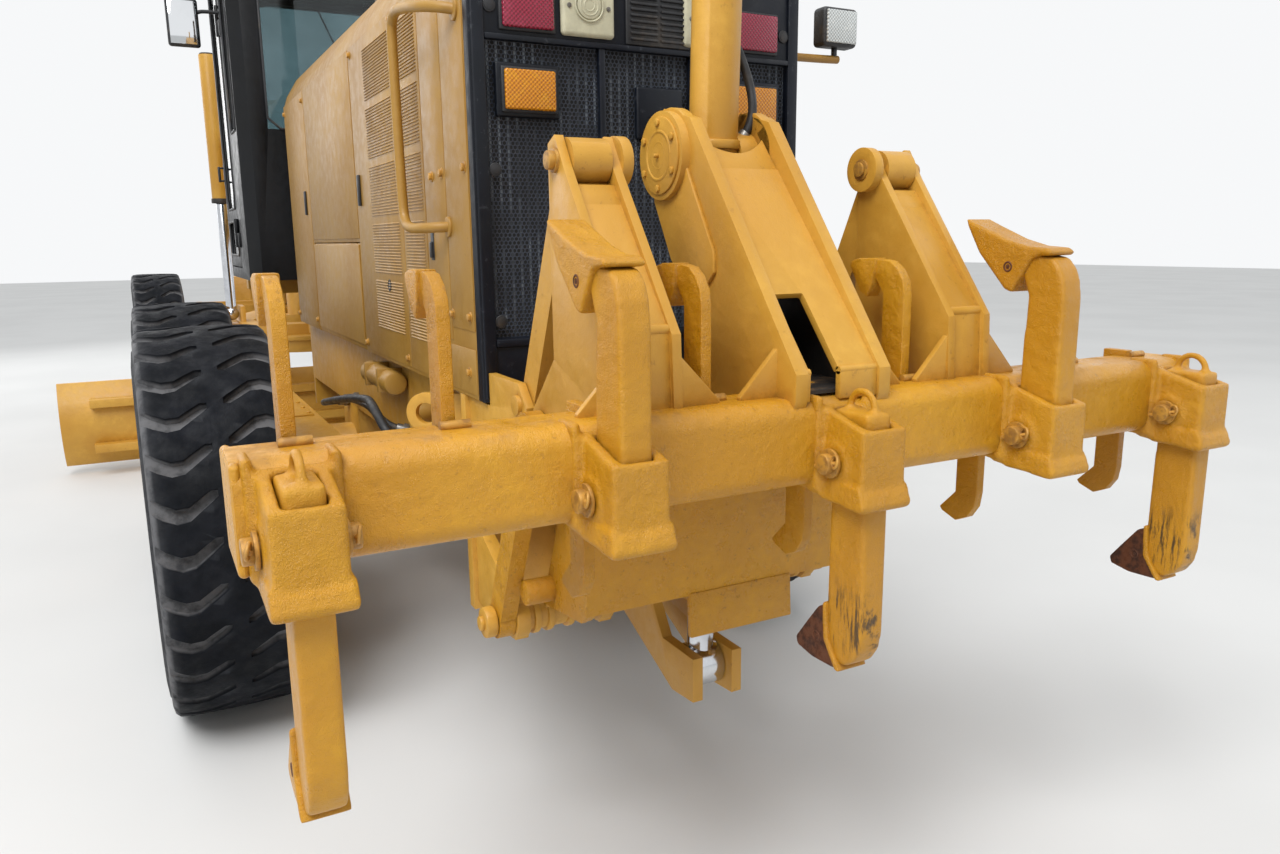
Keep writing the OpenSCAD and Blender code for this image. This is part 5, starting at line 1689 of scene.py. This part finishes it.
class Wheels(Assembly):
    """Six tyres with a worn tread, and their rims."""

    size = WheelSizes()

    def tyre(self) -> Piece:
        """One tyre round the origin of the drawing, with its grooves cut.

        Returns:
            The tyre.
        """
        s = self.size
        half = [(319, 150), (322, 168), (342, 178), (356, 193), (372, 194), (380, 189), (396, 198),
                (440, 212), (500, 221), (560, 222), (604, 217), (612, 213), (640, 212), (664, 206),
                (677, 192), (682, 160), (684, 100), (685, 40)]
        loop = [(319, 0)] + half + [(685, 0)] + [(r, -y) for r, y in reversed(half)]
        Bench.clear()
        bpy.ops.mesh.primitive_circle_add(vertices=len(loop), radius=1, fill_type="NOTHING")
        piece = bpy.context.object
        piece.name = "tyre_master"
        for vertex, (r, y) in zip(piece.data.vertices, loop):
            vertex.co = Vector((0, y / 1000, -r / 1000))
        Bench.open(piece)
        bpy.ops.mesh.spin(steps=120, angle=2 * math.pi, center=(0, 0, 0), axis=(0, 1, 0))
        bpy.ops.mesh.select_all(action="SELECT")
        bpy.ops.mesh.remove_doubles(threshold=0.0001)
        Bench.close(outwards=True)
        first = self.groove()
        cutters = []
        for k in range(s.grooves):
            for side in Side:
                turn = 2 * math.pi * (k + (0.5 if side is Side.RIGHT else 0)) / s.grooves
                change = Matrix.Rotation(turn, 4, "Y")
                if side is Side.RIGHT:
                    change = change @ Matrix.Rotation(math.pi, 4, "Z")
                cutters.append(Bench.copy(first, "groove_cut", change))
        bpy.data.objects.remove(first)
        Bench.carve(piece, Bench.join("groove_cuts", cutters))
        return Bench.soften(piece, 2.6, 2, 40)

    def groove(self) -> Piece:
        """The wedge that cuts one groove, at the bottom of the wheel on its left half.

        Returns:
            The wedge.
        """
        s = self.size
        path = [(242, -30, 66), (212, -14, 60), (178, 12, 54), (142, 30, 50), (106, 26, 46),
                (74, 2, 44), (44, -20, 40), (24, -29, 22)]
        Bench.clear()
        bpy.ops.mesh.primitive_grid_add(x_subdivisions=len(path) - 1, y_subdivisions=1, size=2)
        wedge = bpy.context.object
        wedge.name = "groove_wedge"
        order = sorted(wedge.data.vertices, key=lambda v: (round(v.co.x, 4), v.co.y))
        for i, (y, x, width) in enumerate(path):
            for side, vertex in zip((-1, 1), order[2 * i:2 * i + 2]):
                vertex.co = Vector((x + side * width * s.bottom_share, y, s.depth - s.radius)) / 1000
        Bench.open(wedge)
        bpy.ops.mesh.extrude_region_move(TRANSFORM_OT_translate={"value": (0, 0, -(s.depth + 12) / 1000)})
        Bench.close()
        across = {round(y / 1000, 5): (x, width) for y, x, width in path}
        for vertex in wedge.data.vertices:
            if vertex.co.z < -s.radius / 1000:
                x, width = across[round(vertex.co.y, 5)]
                side = 1 if vertex.co.x * 1000 > x else -1
                vertex.co.x = (x + side * width * s.top_share) / 1000
        Bench.open(wedge)
        Bench.close(outwards=True)
        return wedge

    def nuts(self) -> Piece:
        """Ten wheel nuts, the hub cap's bolts and the valve, round the origin of the drawing.

        Returns:
            The nuts, joined.
        """
        s = self.size
        parts = []
        for k in range(10):
            turn = 2 * math.pi * k / 10
            spot = (MIDDLE_X + s.nut_circle * math.cos(turn), 30, s.nut_circle * math.sin(turn))
            parts.append(Bench.bolt("nut", spot, (0, 1, 0), 15))
        for k in range(8):
            turn = 2 * math.pi * (k + 0.5) / 8
            spot = (MIDDLE_X + s.cap_circle * math.cos(turn), 89, s.cap_circle * math.sin(turn))
            parts.append(Bench.bolt("cap_bolt", spot, (0, 1, 0), 9, False))
        parts += [Bench.rod("plug", (MIDDLE_X, 88, 0), (MIDDLE_X, 98, 0), 46, 36, 4),
                  Bench.rod("valve", (MIDDLE_X + 250, 20, 90), (MIDDLE_X + 262, 78, 94), 6, 12, 1)]
        return Bench.join("wheel_nuts", parts)

    def build(self) -> None:
        """Copy the tyre and the nuts to all six wheels."""
        s, f = self.size, self.finishes
        master, nuts = self.tyre(), self.nuts()
        spots = {"left_1": (-s.tandem_half, 1), "left_2": (s.tandem_half, 1), "right_1": (-s.tandem_half, -1),
                 "right_2": (s.tandem_half, -1), "front_left": (s.wheelbase, 1), "front_right": (s.wheelbase, -1)}
        for name, (x, side) in spots.items():
            middle = (x, side * s.half_track, s.axle_z)
            body = f"wheel_{name}"
            move = Matrix.Translation(place(*middle)) @ (OTHER_SIDE if side < 0 else Matrix.Identity(4))
            rubber = TyreRubber(f"tyre_rubber_{name}", middle).mix()
            self.hand_over(Bench.copy(master, f"worn_tyre_{name}", move), body, rubber, Slot.TYRE, f"tyre_{name}")
            rim = Bench.welded(f"rim_{name}", f"steel_rim_{name}", 4)
            self.hand_over(rim, body, f.yellow, Slot.YELLOW, f"rim_{name}")
            self.hand_over(Bench.copy(nuts, f"nuts_{name}", move), body, f.pin, Slot.STEEL)
        bpy.data.objects.remove(master)
        bpy.data.objects.remove(nuts)


@dataclass
class CabSizes:
    """Places on the cab, as in the part's source."""

    rear_x: float = 1149.0
    front_x: float = 2451.0
    half_w: float = 690.0
    floor_z: float = 1450.0
    window_low: float = 2252.0
    window_high: float = 3154.0
    pane_x: tuple[float, float] = (1642.0, 2078.0)
    pane_z: tuple[float, float] = (1575.0, 3090.0)
    bar_z: tuple[float, float] = (1778.0, 1852.0)
    seat_x: float = 1480.0


class Cab(Assembly):
    """The cab with its doors, windows, seat, wheel, lamps and mirrors."""

    size = CabSizes()

    def build(self) -> None:
        """Model and hand over the cab's pieces."""
        f = self.finishes
        self.hand_over(Bench.welded("cab_shell", "cab_shell_posts", 9), "front", f.black, Slot.BLACK, "cab_shell")
        self.repaint("cab_glass", f.glass)
        for side in Side:
            self.door(side)
        self.seals()
        self.seat()
        self.mirrors()
        self.lamps()

    def door(self, side: Side) -> None:
        """One door: the frame is painted and its two panes are glass.

        Args:
            side: which door.
        """
        c, f = self.size, self.finishes
        word = side.name.lower()
        leaf = Bench.welded(f"door_{word}", f"cab_door_{word}", 5)
        leaf.data.materials.append(f.black)
        leaf.data.materials.append(f.glass)
        for face in leaf.data.polygons:
            spot = drawn(face.center)
            inside = c.pane_x[0] < spot.x < c.pane_x[1] and c.pane_z[0] < spot.z < c.pane_z[1]
            if inside and not c.bar_z[0] < spot.z < c.bar_z[1] and abs(face.normal.y) > 0.9:
                face.material_index = 1
        self.hand_over(leaf, f"door_{word}", f.black, Slot.BLACK, f"door_{word}")
        y = side.value
        parts = [Bench.box("handle_bed", (2090, y * c.half_w, 2010), (2132, y * 697, 2130), 4, 3),
                 Bench.rod("handle_grip", (2111, y * 722, 2024), (2111, y * 722, 2116), 8, 18, 3)]
        parts += [Bench.rod("handle_foot", (2111, y * 694, z), (2111, y * 722, z), 6, 14, 1) for z in (2032, 2108)]
        for z0, z1 in ((1582, c.bar_z[0]), (c.bar_z[1], 3084)):
            parts.append(self.seal([(x, y * 691, z) for x, z in ((1641, z0), (2079, z0), (2079, z1), (1641, z1))]))
        self.fit(f"door_fittings_{word}", parts, f"door_{word}", f.plastic, Slot.BLACK)

    @staticmethod
    def seal(corners: list[Point]) -> Piece:
        """A rubber seal round one window.

        Args:
            corners: the window's corners, one after another.

        Returns:
            The seal.
        """
        spots = [place(*c) for c in corners]
        points = []
        for a, b in zip(spots, spots[1:] + spots[:1]):
            points += [a.lerp(b, 0.06), a.lerp(b, 0.5), a.lerp(b, 0.94)]
        return Bench.tube("seal", points + points[:1], 7, 2)

    def seals(self) -> None:
        """Seals of the fixed windows, and the two wipers."""
        c = self.size
        low, high = c.window_low, c.window_high
        parts = []
        for side in Side:
            y = side.value * (c.half_w + 1)
            parts.append(self.seal([(x, y, z) for x, z in ((1252, low), (1498, low), (1498, high), (1252, high))]))
        for x, y, foot in ((c.rear_x, 538, low), (c.front_x, 428, 1952)):
            parts.append(self.seal([(x, -y, foot), (x, y, foot), (x, y, high), (x, -y, high)]))
        for x, sign in ((2456, 1), (1144, -1)):
            near, far = sorted((x + sign * 4, x + sign * 14))
            parts += [Bench.rod("wiper_hub", (x, 0, 3170), (x + sign * 26, 0, 3170), 18, 24, 3),
                      Bench.rod("wiper_arm", (x + sign * 18, 0, 3170), (x + sign * 14, -200, 2720), 6, 12, 1),
                      Bench.box("wiper_blade", (near, -214, 2480), (far, -200, 2960), 3)]
        self.fit("window_seals_and_wipers", parts, "front", self.finishes.plastic, Slot.BLACK)

    def cushion(self, name: str, low: Point, high: Point, rib: Across) -> Piece:
        """A crowned cushion with sewn channels.

        Args:
            name: the piece's name.
            low: one corner.
            high: the other.
            rib: the direction the channels follow one another in.

        Returns:
            The cushion.
        """
        a, b = place(*low), place(*high)
        pad = Bench.block(name, low, high)
        Bench.open(pad)
        bpy.ops.mesh.subdivide(number_cuts=11, smoothness=0)
        Bench.close()
        middle, half = (a + b) / 2, (b - a) / 2
        for vertex in pad.data.vertices:
            t = [(vertex.co[k] - middle[k]) / half[k] for k in range(3)]
            u, v, w = (abs(c) ** 4 for c in t)
            pull = 1 - 0.10 * (u * v + v * w + u * w)
            rest = 1 - 0.10 * sum(abs(t[k]) ** 2 for k in range(3) if abs(t[k]) < 0.999) / 2
            seam = abs(math.sin(math.pi * 2 * (t[rib.value] + 1)))
            dent = 1 - 0.05 * max(0, 1 - seam * 4)
            vertex.co = middle + Vector([half[k] * t[k] * pull * rest * dent for k in range(3)])
        Bench.apply(pad, "SUBSURF", levels=1, render_levels=1)
        Bench.take(pad)
        bpy.ops.object.shade_smooth()
        return pad

    def seat(self) -> None:
        """The seat's cushions on their base, and the console with the wheel and levers."""
        f = self.finishes
        x, z = self.size.seat_x, self.size.floor_z
        base = [Bench.box("base", (x + 20, -190, z + 40), (x + 400, 190, z + 120), 8, 3),
                Bench.box("bellows", (x + 60, -160, z + 118), (x + 360, 160, z + 300), 14, 3),
                Bench.box("pan", (x - 10, -225, z + 298), (x + 440, 225, z + 338), 10, 3),
                Bench.box("back_shell", (x - 122, -215, z + 340), (x - 92, 215, z + 1030), 12, 3),
                Bench.box("console", (2124, -115, z + 40), (2238, 115, z + 560), 22, 4),
                Bench.box("dash", (2080, -118, z + 545), (2232, 118, z + 640), 20, 4),
                Bench.rod("column", (2110, 0, z + 600), (2040, 0, z + 690), 24, 24, 3),
                Bench.ring("wheel", (2036, 0, z + 696), (-0.62, 0, 0.78), 175, 13, 48),
                Bench.rod("hub", (2052, 0, z + 678), (2030, 0, z + 706), 34, 28, 5)]
        for turn in (90, 210, 330):
            c, s = 172 * math.cos(math.radians(turn)), 172 * math.sin(math.radians(turn))
            rim = (2036 + 0.78 * c, s, z + 696 + 0.62 * c)
            base.append(Bench.rod("spoke", (2038, 0, z + 694), rim, 9, 12, 1))
        for side in Side:
            for k in range(4):
                y = side.value * (64 + 13 * k)
                base += [Bench.rod("lever", (2130, y, z + 630), (2104, y, z + 740), 4, 10, 1),
                         Bench.rod("knob", (2108, y, z + 726), (2099, y, z + 762), 5.5, 14, 3)]
            y = side.value * 240
            base += [Bench.box("arm_rest", (x - 60, y - 26, z + 560), (x + 240, y + 26, z + 610), 16, 4),
                     Bench.box("arm_post", (x - 70, y - 14, z + 330), (x - 30, y + 14, z + 580), 8)]
        self.fit("seat_base_and_console", base, "front", f.plastic, Slot.BLACK, "seat_and_console")
        pads = {"seat_cushion": ((x - 18, -236, z + 336), (x + 456, 236, z + 446), Across.Y),
                "seat_back": ((x - 104, -228, z + 400), (x - 6, 228, z + 1046), Across.Z)}
        for name, (low, high, rib) in pads.items():
            pad = self.hand_over(self.cushion(name, low, high, rib), "front", f.cloth, Slot.SEAT)

    def mirrors(self) -> None:
        """The outside mirrors on their arms."""
        f = self.finishes
        shell = Bench.box("mirror_shell", (1512, 800, 2700), (1550, 960, 2950), 16, 4)
        bend = [(1530, 688, 2890), (1530, 730, 2892), (1530, 780, 2890), (1530, 812, 2880)]
        arm = Bench.tube("mirror_arm", Bench.line(bend, 5), 10)
        foot = Bench.box("mirror_foot", (1505, 689, 2866), (1555, 698, 2914), 4)
        shells = Bench.join("mirror_shells", Bench.both(shell, arm, foot))
        self.hand_over(shells, "front", f.plastic, Slot.BLACK, "mirrors")
        face = Bench.box("mirror_face", (1509, 812, 2714), (1513, 948, 2936), 1.5)
        self.fit("mirror_faces", Bench.both(face), "front", f.mirror, Slot.GLASS)

    def lamps(self) -> None:
        """Work lamps under the roof's edge, and the one on the hood's right rear corner."""
        f = self.finishes
        cases, lenses = [], []
        for x, sign in ((2516, 1), (1104, -1)):
            near, far = sorted((x + sign * 34, x + sign * 41))
            for y in (-380, 380):
                cases.append(Bench.box("lamp_case", (x - 36, y - 62, 3160), (x + 36, y + 62, 3232), 12, 4))
                lenses.append(Bench.box("lamp_lens", (near, y - 54, 3167), (far, y + 54, 3225), 3, 3))
        self.fit("roof_lamp_cases", cases, "front", f.plastic, Slot.BLACK)
        self.fit("roof_lamp_lenses", lenses, "front", f.clear_lens, Slot.LAMP)
        case = [Bench.box("side_lamp_case", (-1990, -800, 2222), (-1930, -668, 2336), 14, 4),
                Bench.rod("side_lamp_pin", (-1958, -734, 2224), (-1958, -734, 2192), 9, 16, 2)]
        self.fit("side_lamp", case, "rear", f.plastic, Slot.BLACK)
        bend = [(-1958, -486, 2186), (-1958, -560, 2186), (-1958, -680, 2188), (-1958, -748, 2190)]
        arm = Bench.tube("arm", Bench.line(bend, 5), 12)
        foot = Bench.box("arm_foot", (-1990, -497, 2158), (-1926, -488, 2214), 3)
        self.fit("side_lamp_arm", [arm, foot], "rear", f.hood, Slot.YELLOW)
        lens = Bench.box("side_lamp_lens", (-1997, -790, 2232), (-1988, -678, 2326), 3, 3)
        self.hand_over(lens, "rear", f.clear_lens, Slot.LAMP)


@dataclass
class ChassisSizes:
    """Places on the frames and axles, as in the part's source."""

    push_x: float = 7000.0
    hub_x: float = 761.5
    hub_z: float = 684.0
    cover_y: float = 806.0
    cover_circle: float = 172.0
    lid_z: float = 912.0
    pipe_y: float = 164.0
    pipe_z: float = 1700.0


class Chassis(Assembly):
    """The rear frame, axles, tandem cases and front frame."""

    size = ChassisSizes()

    def build(self) -> None:
        """Model and hand over the frames and axles."""
        f = self.finishes
        bodies = {"rear_frame": "rear", "rear_axle": "rear", "front_frame": "front", "lift_saddle": "front"}
        edges = {"rear_frame": 4, "rear_axle": 8, "front_frame": 8, "lift_saddle": 8, "tandem_left": 14,
                 "tandem_right": 14, "front_axle": 8, "lean_left": 6, "lean_right": 6, "lean_bar": 4,
                 "knuckle_left": 6, "knuckle_right": 6}
        for node, edge in edges.items():
            plates = Bench.welded(node, node + "_plates", edge)
            self.hand_over(plates, bodies.get(node, node), f.yellow, Slot.YELLOW, node)
        self.hand_over(Bench.welded("steer_rod", "steering_rod", 3), "steer_rod", f.chrome, Slot.STEEL, "steer_rod")
        self.bolts()
        self.lines()

    def bolts(self) -> None:
        """Bolts of the push block, the tandem covers and the axle's plates."""
        c, f = self.size, self.finishes
        front = [Bench.bolt("push_bolt", (c.push_x, y, z), (1, 0, 0), 15)
                 for y in (-300, -180, 180, 300) for z in (848, 1252)]
        front += [Bench.bolt("mount_bolt", (x, y, 1440), (0, 0, -1), 16, False)
                  for x in (1700, 2260) for y in (-540, 540)]
        self.fit("front_bolts", front, "front", f.steel, Slot.STEEL)
        for side in Side:
            word, y = side.name.lower(), side.value
            cover = []
            for x in (-c.hub_x, c.hub_x):
                cover.append(Bench.rod("cover", (x, y * 798, c.hub_z), (x, y * c.cover_y, c.hub_z), 196, 48, 3))
                for k in range(12):
                    turn = math.radians(30 * k)
                    along, up = c.cover_circle * math.cos(turn), c.cover_circle * math.sin(turn)
                    spot = (x + along, y * c.cover_y, c.hub_z + up)
                    cover.append(Bench.bolt("cover_bolt", spot, (0, y, 0), 9, False))
            cover.append(Bench.box("fill_lid", (-180, y * 620, c.lid_z), (180, y * 780, c.lid_z + 10), 4))
            cover += [Bench.bolt("lid_bolt", (x, y * out, c.lid_z + 9), (0, 0, 1), 8, False)
                      for x in (-150, 0, 150) for out in (640, 760)]
            self.fit(f"tandem_covers_{word}", cover, f"tandem_{word}", f.yellow, Slot.YELLOW)

    def lines(self) -> None:
        """Hoses and steel pipes between the hood and the left wheels, and along the front frame."""
        c, f = self.size, self.finishes
        near = [(30, 436, 936), (10, 500, 938), (-60, 556, 948), (-240, 570, 980), (-500, 571, 1026),
                (-804, 571, 1075), (-1060, 574, 1108), (-1230, 592, 1118), (-1350, 600, 1100),
                (-1420, 584, 1050), (-1450, 540, 1000), (-1462, 490, 970), (-1466, 436, 955)]
        far = [(-200, 436, 980), (-230, 486, 986), (-340, 518, 1004), (-600, 524, 1034),
               (-820, 522, 1044), (-960, 516, 1028), (-1040, 486, 1000), (-1064, 436, 984)]
        self.hose("side_hose_near", near, 15, "rear")
        self.hose("side_hose_far", far, 13, "rear")
        gusset = [(428, 1200), (508, 1120), (508, 1096), (428, 1096)]
        rear = [Bench.rod("accumulator", (-1100, 476, 1160), (-700, 476, 1160), 42, 32, 12),
                Bench.box("bracket", (-1010, 430, 1120), (-990, 520, 1205), 3),
                Bench.box("bracket", (-810, 430, 1120), (-790, 520, 1205), 3),
                Bench.rod("boss", (-1470, 428, 1120), (-1470, 520, 1120), 34, 28, 4),
                Bench.plate("gusset", gusset, Across.X, -1480, -1466, 2)]
        pipes = []
        for side in Side:
            y = side.value * c.pipe_y
            for k in range(3):
                z = c.pipe_z - 34 * k
                run = [(2986, y, z - 110), (3010, y, z + 40), (3080, y, z + 190), (3300, y, z + 240),
                       (4500, y, z + 240)]
                pipes.append(Bench.tube("pipe", Bench.line(run, 5), 9, 2))
        self.fit("side_cylinder_and_gusset", rear, "rear", f.hood, Slot.YELLOW)
        self.fit("arch_pipes", pipes, "front", f.dark, Slot.STEEL)


@dataclass
class BladeSizes:
    """Places on the blade and its circle, as in the part's source."""

    edge_x: float = 3538.0
    circle_x: float = 3700.0
    drive_x: float = 4240.0
    teeth: int = 64
    lift_y: float = 600.0


class BladeGear(Assembly):
    """The drawbar, circle, blade and lift cylinders."""

    size = BladeSizes()

    def build(self) -> None:
        """Model and hand over the blade's pieces."""
        f = self.finishes
        for node, name, body, edge in (
                ("drawbar", "drawbar_plates", "drawbar", 6), ("blade_circle", "blade_circle_plates", "circle", 4),
                ("blade_carrier", "blade_carrier_plates", "blade_carrier", 5),
                ("moldboard", "moldboard_face", "moldboard", 3),
                ("lift_barrels", "lift_cylinder_barrels", "front", 4)):
            self.hand_over(Bench.welded(node, name, edge), body, f.yellow, Slot.YELLOW, node)
        rods = Bench.welded("lift_rods", "lift_cylinder_rods", 2)
        self.hand_over(rods, "lift_rods", f.chrome, Slot.STEEL, "lift_rods")
        self.edges()
        self.teeth()

    def edges(self) -> None:
        """The two bolted cutting edges with their rows of bolts."""
        f, x = self.finishes, self.size.edge_x
        outline = [(x - 24, 60), (x + 3, 58), (x - 34, 208), (x - 50, 206)]
        bars, bolts = [], []
        for y0, y1 in ((-1829, -2), (2, 1829)):
            bars.append(Bench.plate("edge", outline, Across.Y, y0, y1, 1.5))
            for k in range(12):
                y = y0 + 76 + k * (y1 - y0 - 152) / 11
                bolts.append(Bench.bolt("edge_bolt", (x - 46, y, 176), (-0.97, 0, -0.24), 12))
        self.fit("cutting_edges", bars, "moldboard", f.edge, Slot.WEAR)
        self.fit("edge_bolts", bolts, "moldboard", f.steel, Slot.STEEL)

    def teeth(self) -> None:
        """The circle's inner teeth, the drive with its bolts and the lift cylinders' glands."""
        b, f = self.size, self.finishes
        outline = [(4125, -13), (4140, -15), (4140, 15), (4125, 13), (4106, 7), (4106, -7)]
        first = Bench.plate("tooth", outline, Across.Z, 854, 934, 1)
        move = Matrix.Translation(place(b.circle_x, 0, 0))
        teeth = []
        for k in range(b.teeth):
            turn = Matrix.Rotation(2 * math.pi * k / b.teeth, 4, "Z")
            teeth.append(Bench.copy(first, "tooth", move @ turn @ move.inverted()))
        bpy.data.objects.remove(first)
        self.fit("circle_teeth", teeth, "circle", f.edge, Slot.WEAR)
        drive = [Bench.rod("motor", (b.drive_x, 0, 1278), (b.drive_x, 0, 1380), 62, 36, 8)]
        for k in range(10):
            turn = math.radians(36 * k)
            spot = (b.drive_x + 92 * math.cos(turn), 92 * math.sin(turn), 1280)
            drive.append(Bench.bolt("drive_bolt", spot, (0, 0, 1), 9, False))
        self.fit("circle_drive", drive, "drawbar", f.dark, Slot.CAST)
        glands = []
        for side in Side:
            x, y = b.circle_x, side.value * b.lift_y
            glands += [Bench.rod("gland", (x, y, 1958), (x, y, 1992), 68, 40, 3),
                       Bench.rod("cap", (x, y, 3030), (x, y, 3052), 54, 40, 4),
                       Bench.rod("port", (x, y, 2990), (x - 60, y, 2990), 16, 12, 2)]
        self.fit("lift_glands", glands, "front", f.dark, Slot.CAST)


@dataclass
class StudioSizes:
    """The camera's lens, place and turn as solved from the photograph, and the lamps in metres and watts."""

    lens: float = 26.33
    sensor: float = 36.0
    eye: Point = (-4383.0, 1249.0, 1650.0)
    right: Point = (-0.4709, -0.8821, -0.0111)
    up: Point = (0.1684, -0.1022, 0.9804)
    back: Point = (-0.8660, 0.4598, 0.1967)
    lamps: tuple[tuple[str, Point, float, float], ...] = (
        ("key", (-7, 4.5, 7.5), 4, 440), ("fill", (-6, -8, 4.5), 7, 110),
        ("top", (0, 0, 10), 9, 150), ("front", (9, 4, 6), 7, 240))
    aim: Point = (0.0, 0.0, 1.0)
    sky_power: float = 1.15
    sky_spread: float = 38.0
    sky_way: Point = (0.42, -0.3, -1.0)


class Studio:
    """The floor, the light and the camera."""

    size = StudioSizes()

    def build(self) -> None:
        """Set up the studio."""
        self.camera()
        self.floor()
        self.light()
        self.world()
        bpy.context.scene.view_settings.view_transform = "Standard"

    def camera(self) -> None:
        """The camera at the photograph's angle."""
        s = self.size
        data = bpy.data.cameras.new("view")
        data.lens = s.lens
        data.sensor_width = s.sensor
        data.clip_end = 200
        camera = bpy.data.objects.new("view", data)
        bpy.context.scene.collection.objects.link(camera)
        turn = Matrix((s.right, s.up, s.back)).transposed().to_4x4()
        camera.matrix_world = Matrix.Translation(place(*s.eye)) @ turn
        bpy.context.scene.camera = camera

    @staticmethod
    def floor() -> None:
        """A plain pale floor."""
        Bench.clear()
        bpy.ops.mesh.primitive_plane_add(size=90, location=(0, 0, -0.002))
        floor = bpy.context.object
        floor.name = "floor"
        r = Recipe("pale_floor")
        tone = r.blend(r.ramp(r.noise(0.6, 3), 0.3, 0.7), linear((216, 216, 215)), linear((221, 221, 220)))
        floor.data.materials.append(r.done(tone, 0.9, mirror=0.1))

    def light(self) -> None:
        """Soft lamps and a wide sun."""
        s = self.size
        for name, spot, size, power in s.lamps:
            lamp = bpy.data.lights.new(name, "AREA")
            lamp.size = size
            lamp.energy = power
            self.hang(lamp, Vector(s.aim) - Vector(spot)).location = spot
        sun = bpy.data.lights.new("sky_light", "SUN")
        sun.energy = s.sky_power
        sun.angle = math.radians(s.sky_spread)
        self.hang(sun, Vector(s.sky_way))

    @staticmethod
    def hang(lamp: bpy.types.Light, way: Vector) -> Piece:
        """Put a lamp into the studio.

        Args:
            lamp: the lamp.
            way: the direction it shines in.

        Returns:
            Its object.
        """
        holder = bpy.data.objects.new(lamp.name, lamp)
        holder.rotation_euler = way.to_track_quat("-Z", "Y").to_euler()
        bpy.context.scene.collection.objects.link(holder)
        return holder

    @staticmethod
    def world() -> None:
        """A world that shows a pale ground to the camera, to gloss and through glass, and lights softly."""
        world = bpy.data.worlds.new("studio")
        bpy.context.scene.world = world
        world.use_nodes = True
        tree = world.node_tree
        tree.nodes.clear()
        add, link = tree.nodes.new, tree.links.new
        out, path, mix = add("ShaderNodeOutputWorld"), add("ShaderNodeLightPath"), add("ShaderNodeMixShader")
        seen, soft = add("ShaderNodeBackground"), add("ShaderNodeBackground")
        seen.inputs["Color"].default_value = (0.93, 0.94, 0.95, 1)
        soft.inputs["Color"].default_value = (0.95, 0.98, 1, 1)
        soft.inputs["Strength"].default_value = 0.5
        shown = path.outputs["Is Camera Ray"]
        for ray in ("Is Transmission Ray", "Is Glossy Ray"):
            either = add("ShaderNodeMath")
            either.operation = "MAXIMUM"
            link(shown, either.inputs[0])
            link(path.outputs[ray], either.inputs[1])
            shown = either.outputs[0]
        link(shown, mix.inputs[0])
        link(soft.outputs[0], mix.inputs[1])
        link(seen.outputs[0], mix.inputs[2])
        link(mix.outputs[0], out.inputs["Surface"])


def main() -> None:
    """Build every sub-assembly in order."""
    logging.basicConfig(level=logging.INFO, format="%(name)s: %(message)s")
    Studio().build()
    finishes = Finishes()
    for kind in (Ripper, RipperLift, RearGrille, Hood, Wheels, Chassis, BladeGear, Cab):
        LOG.info("building %s", kind.__name__)
        kind(finishes).build()


if __name__ == "__main__":
    main()
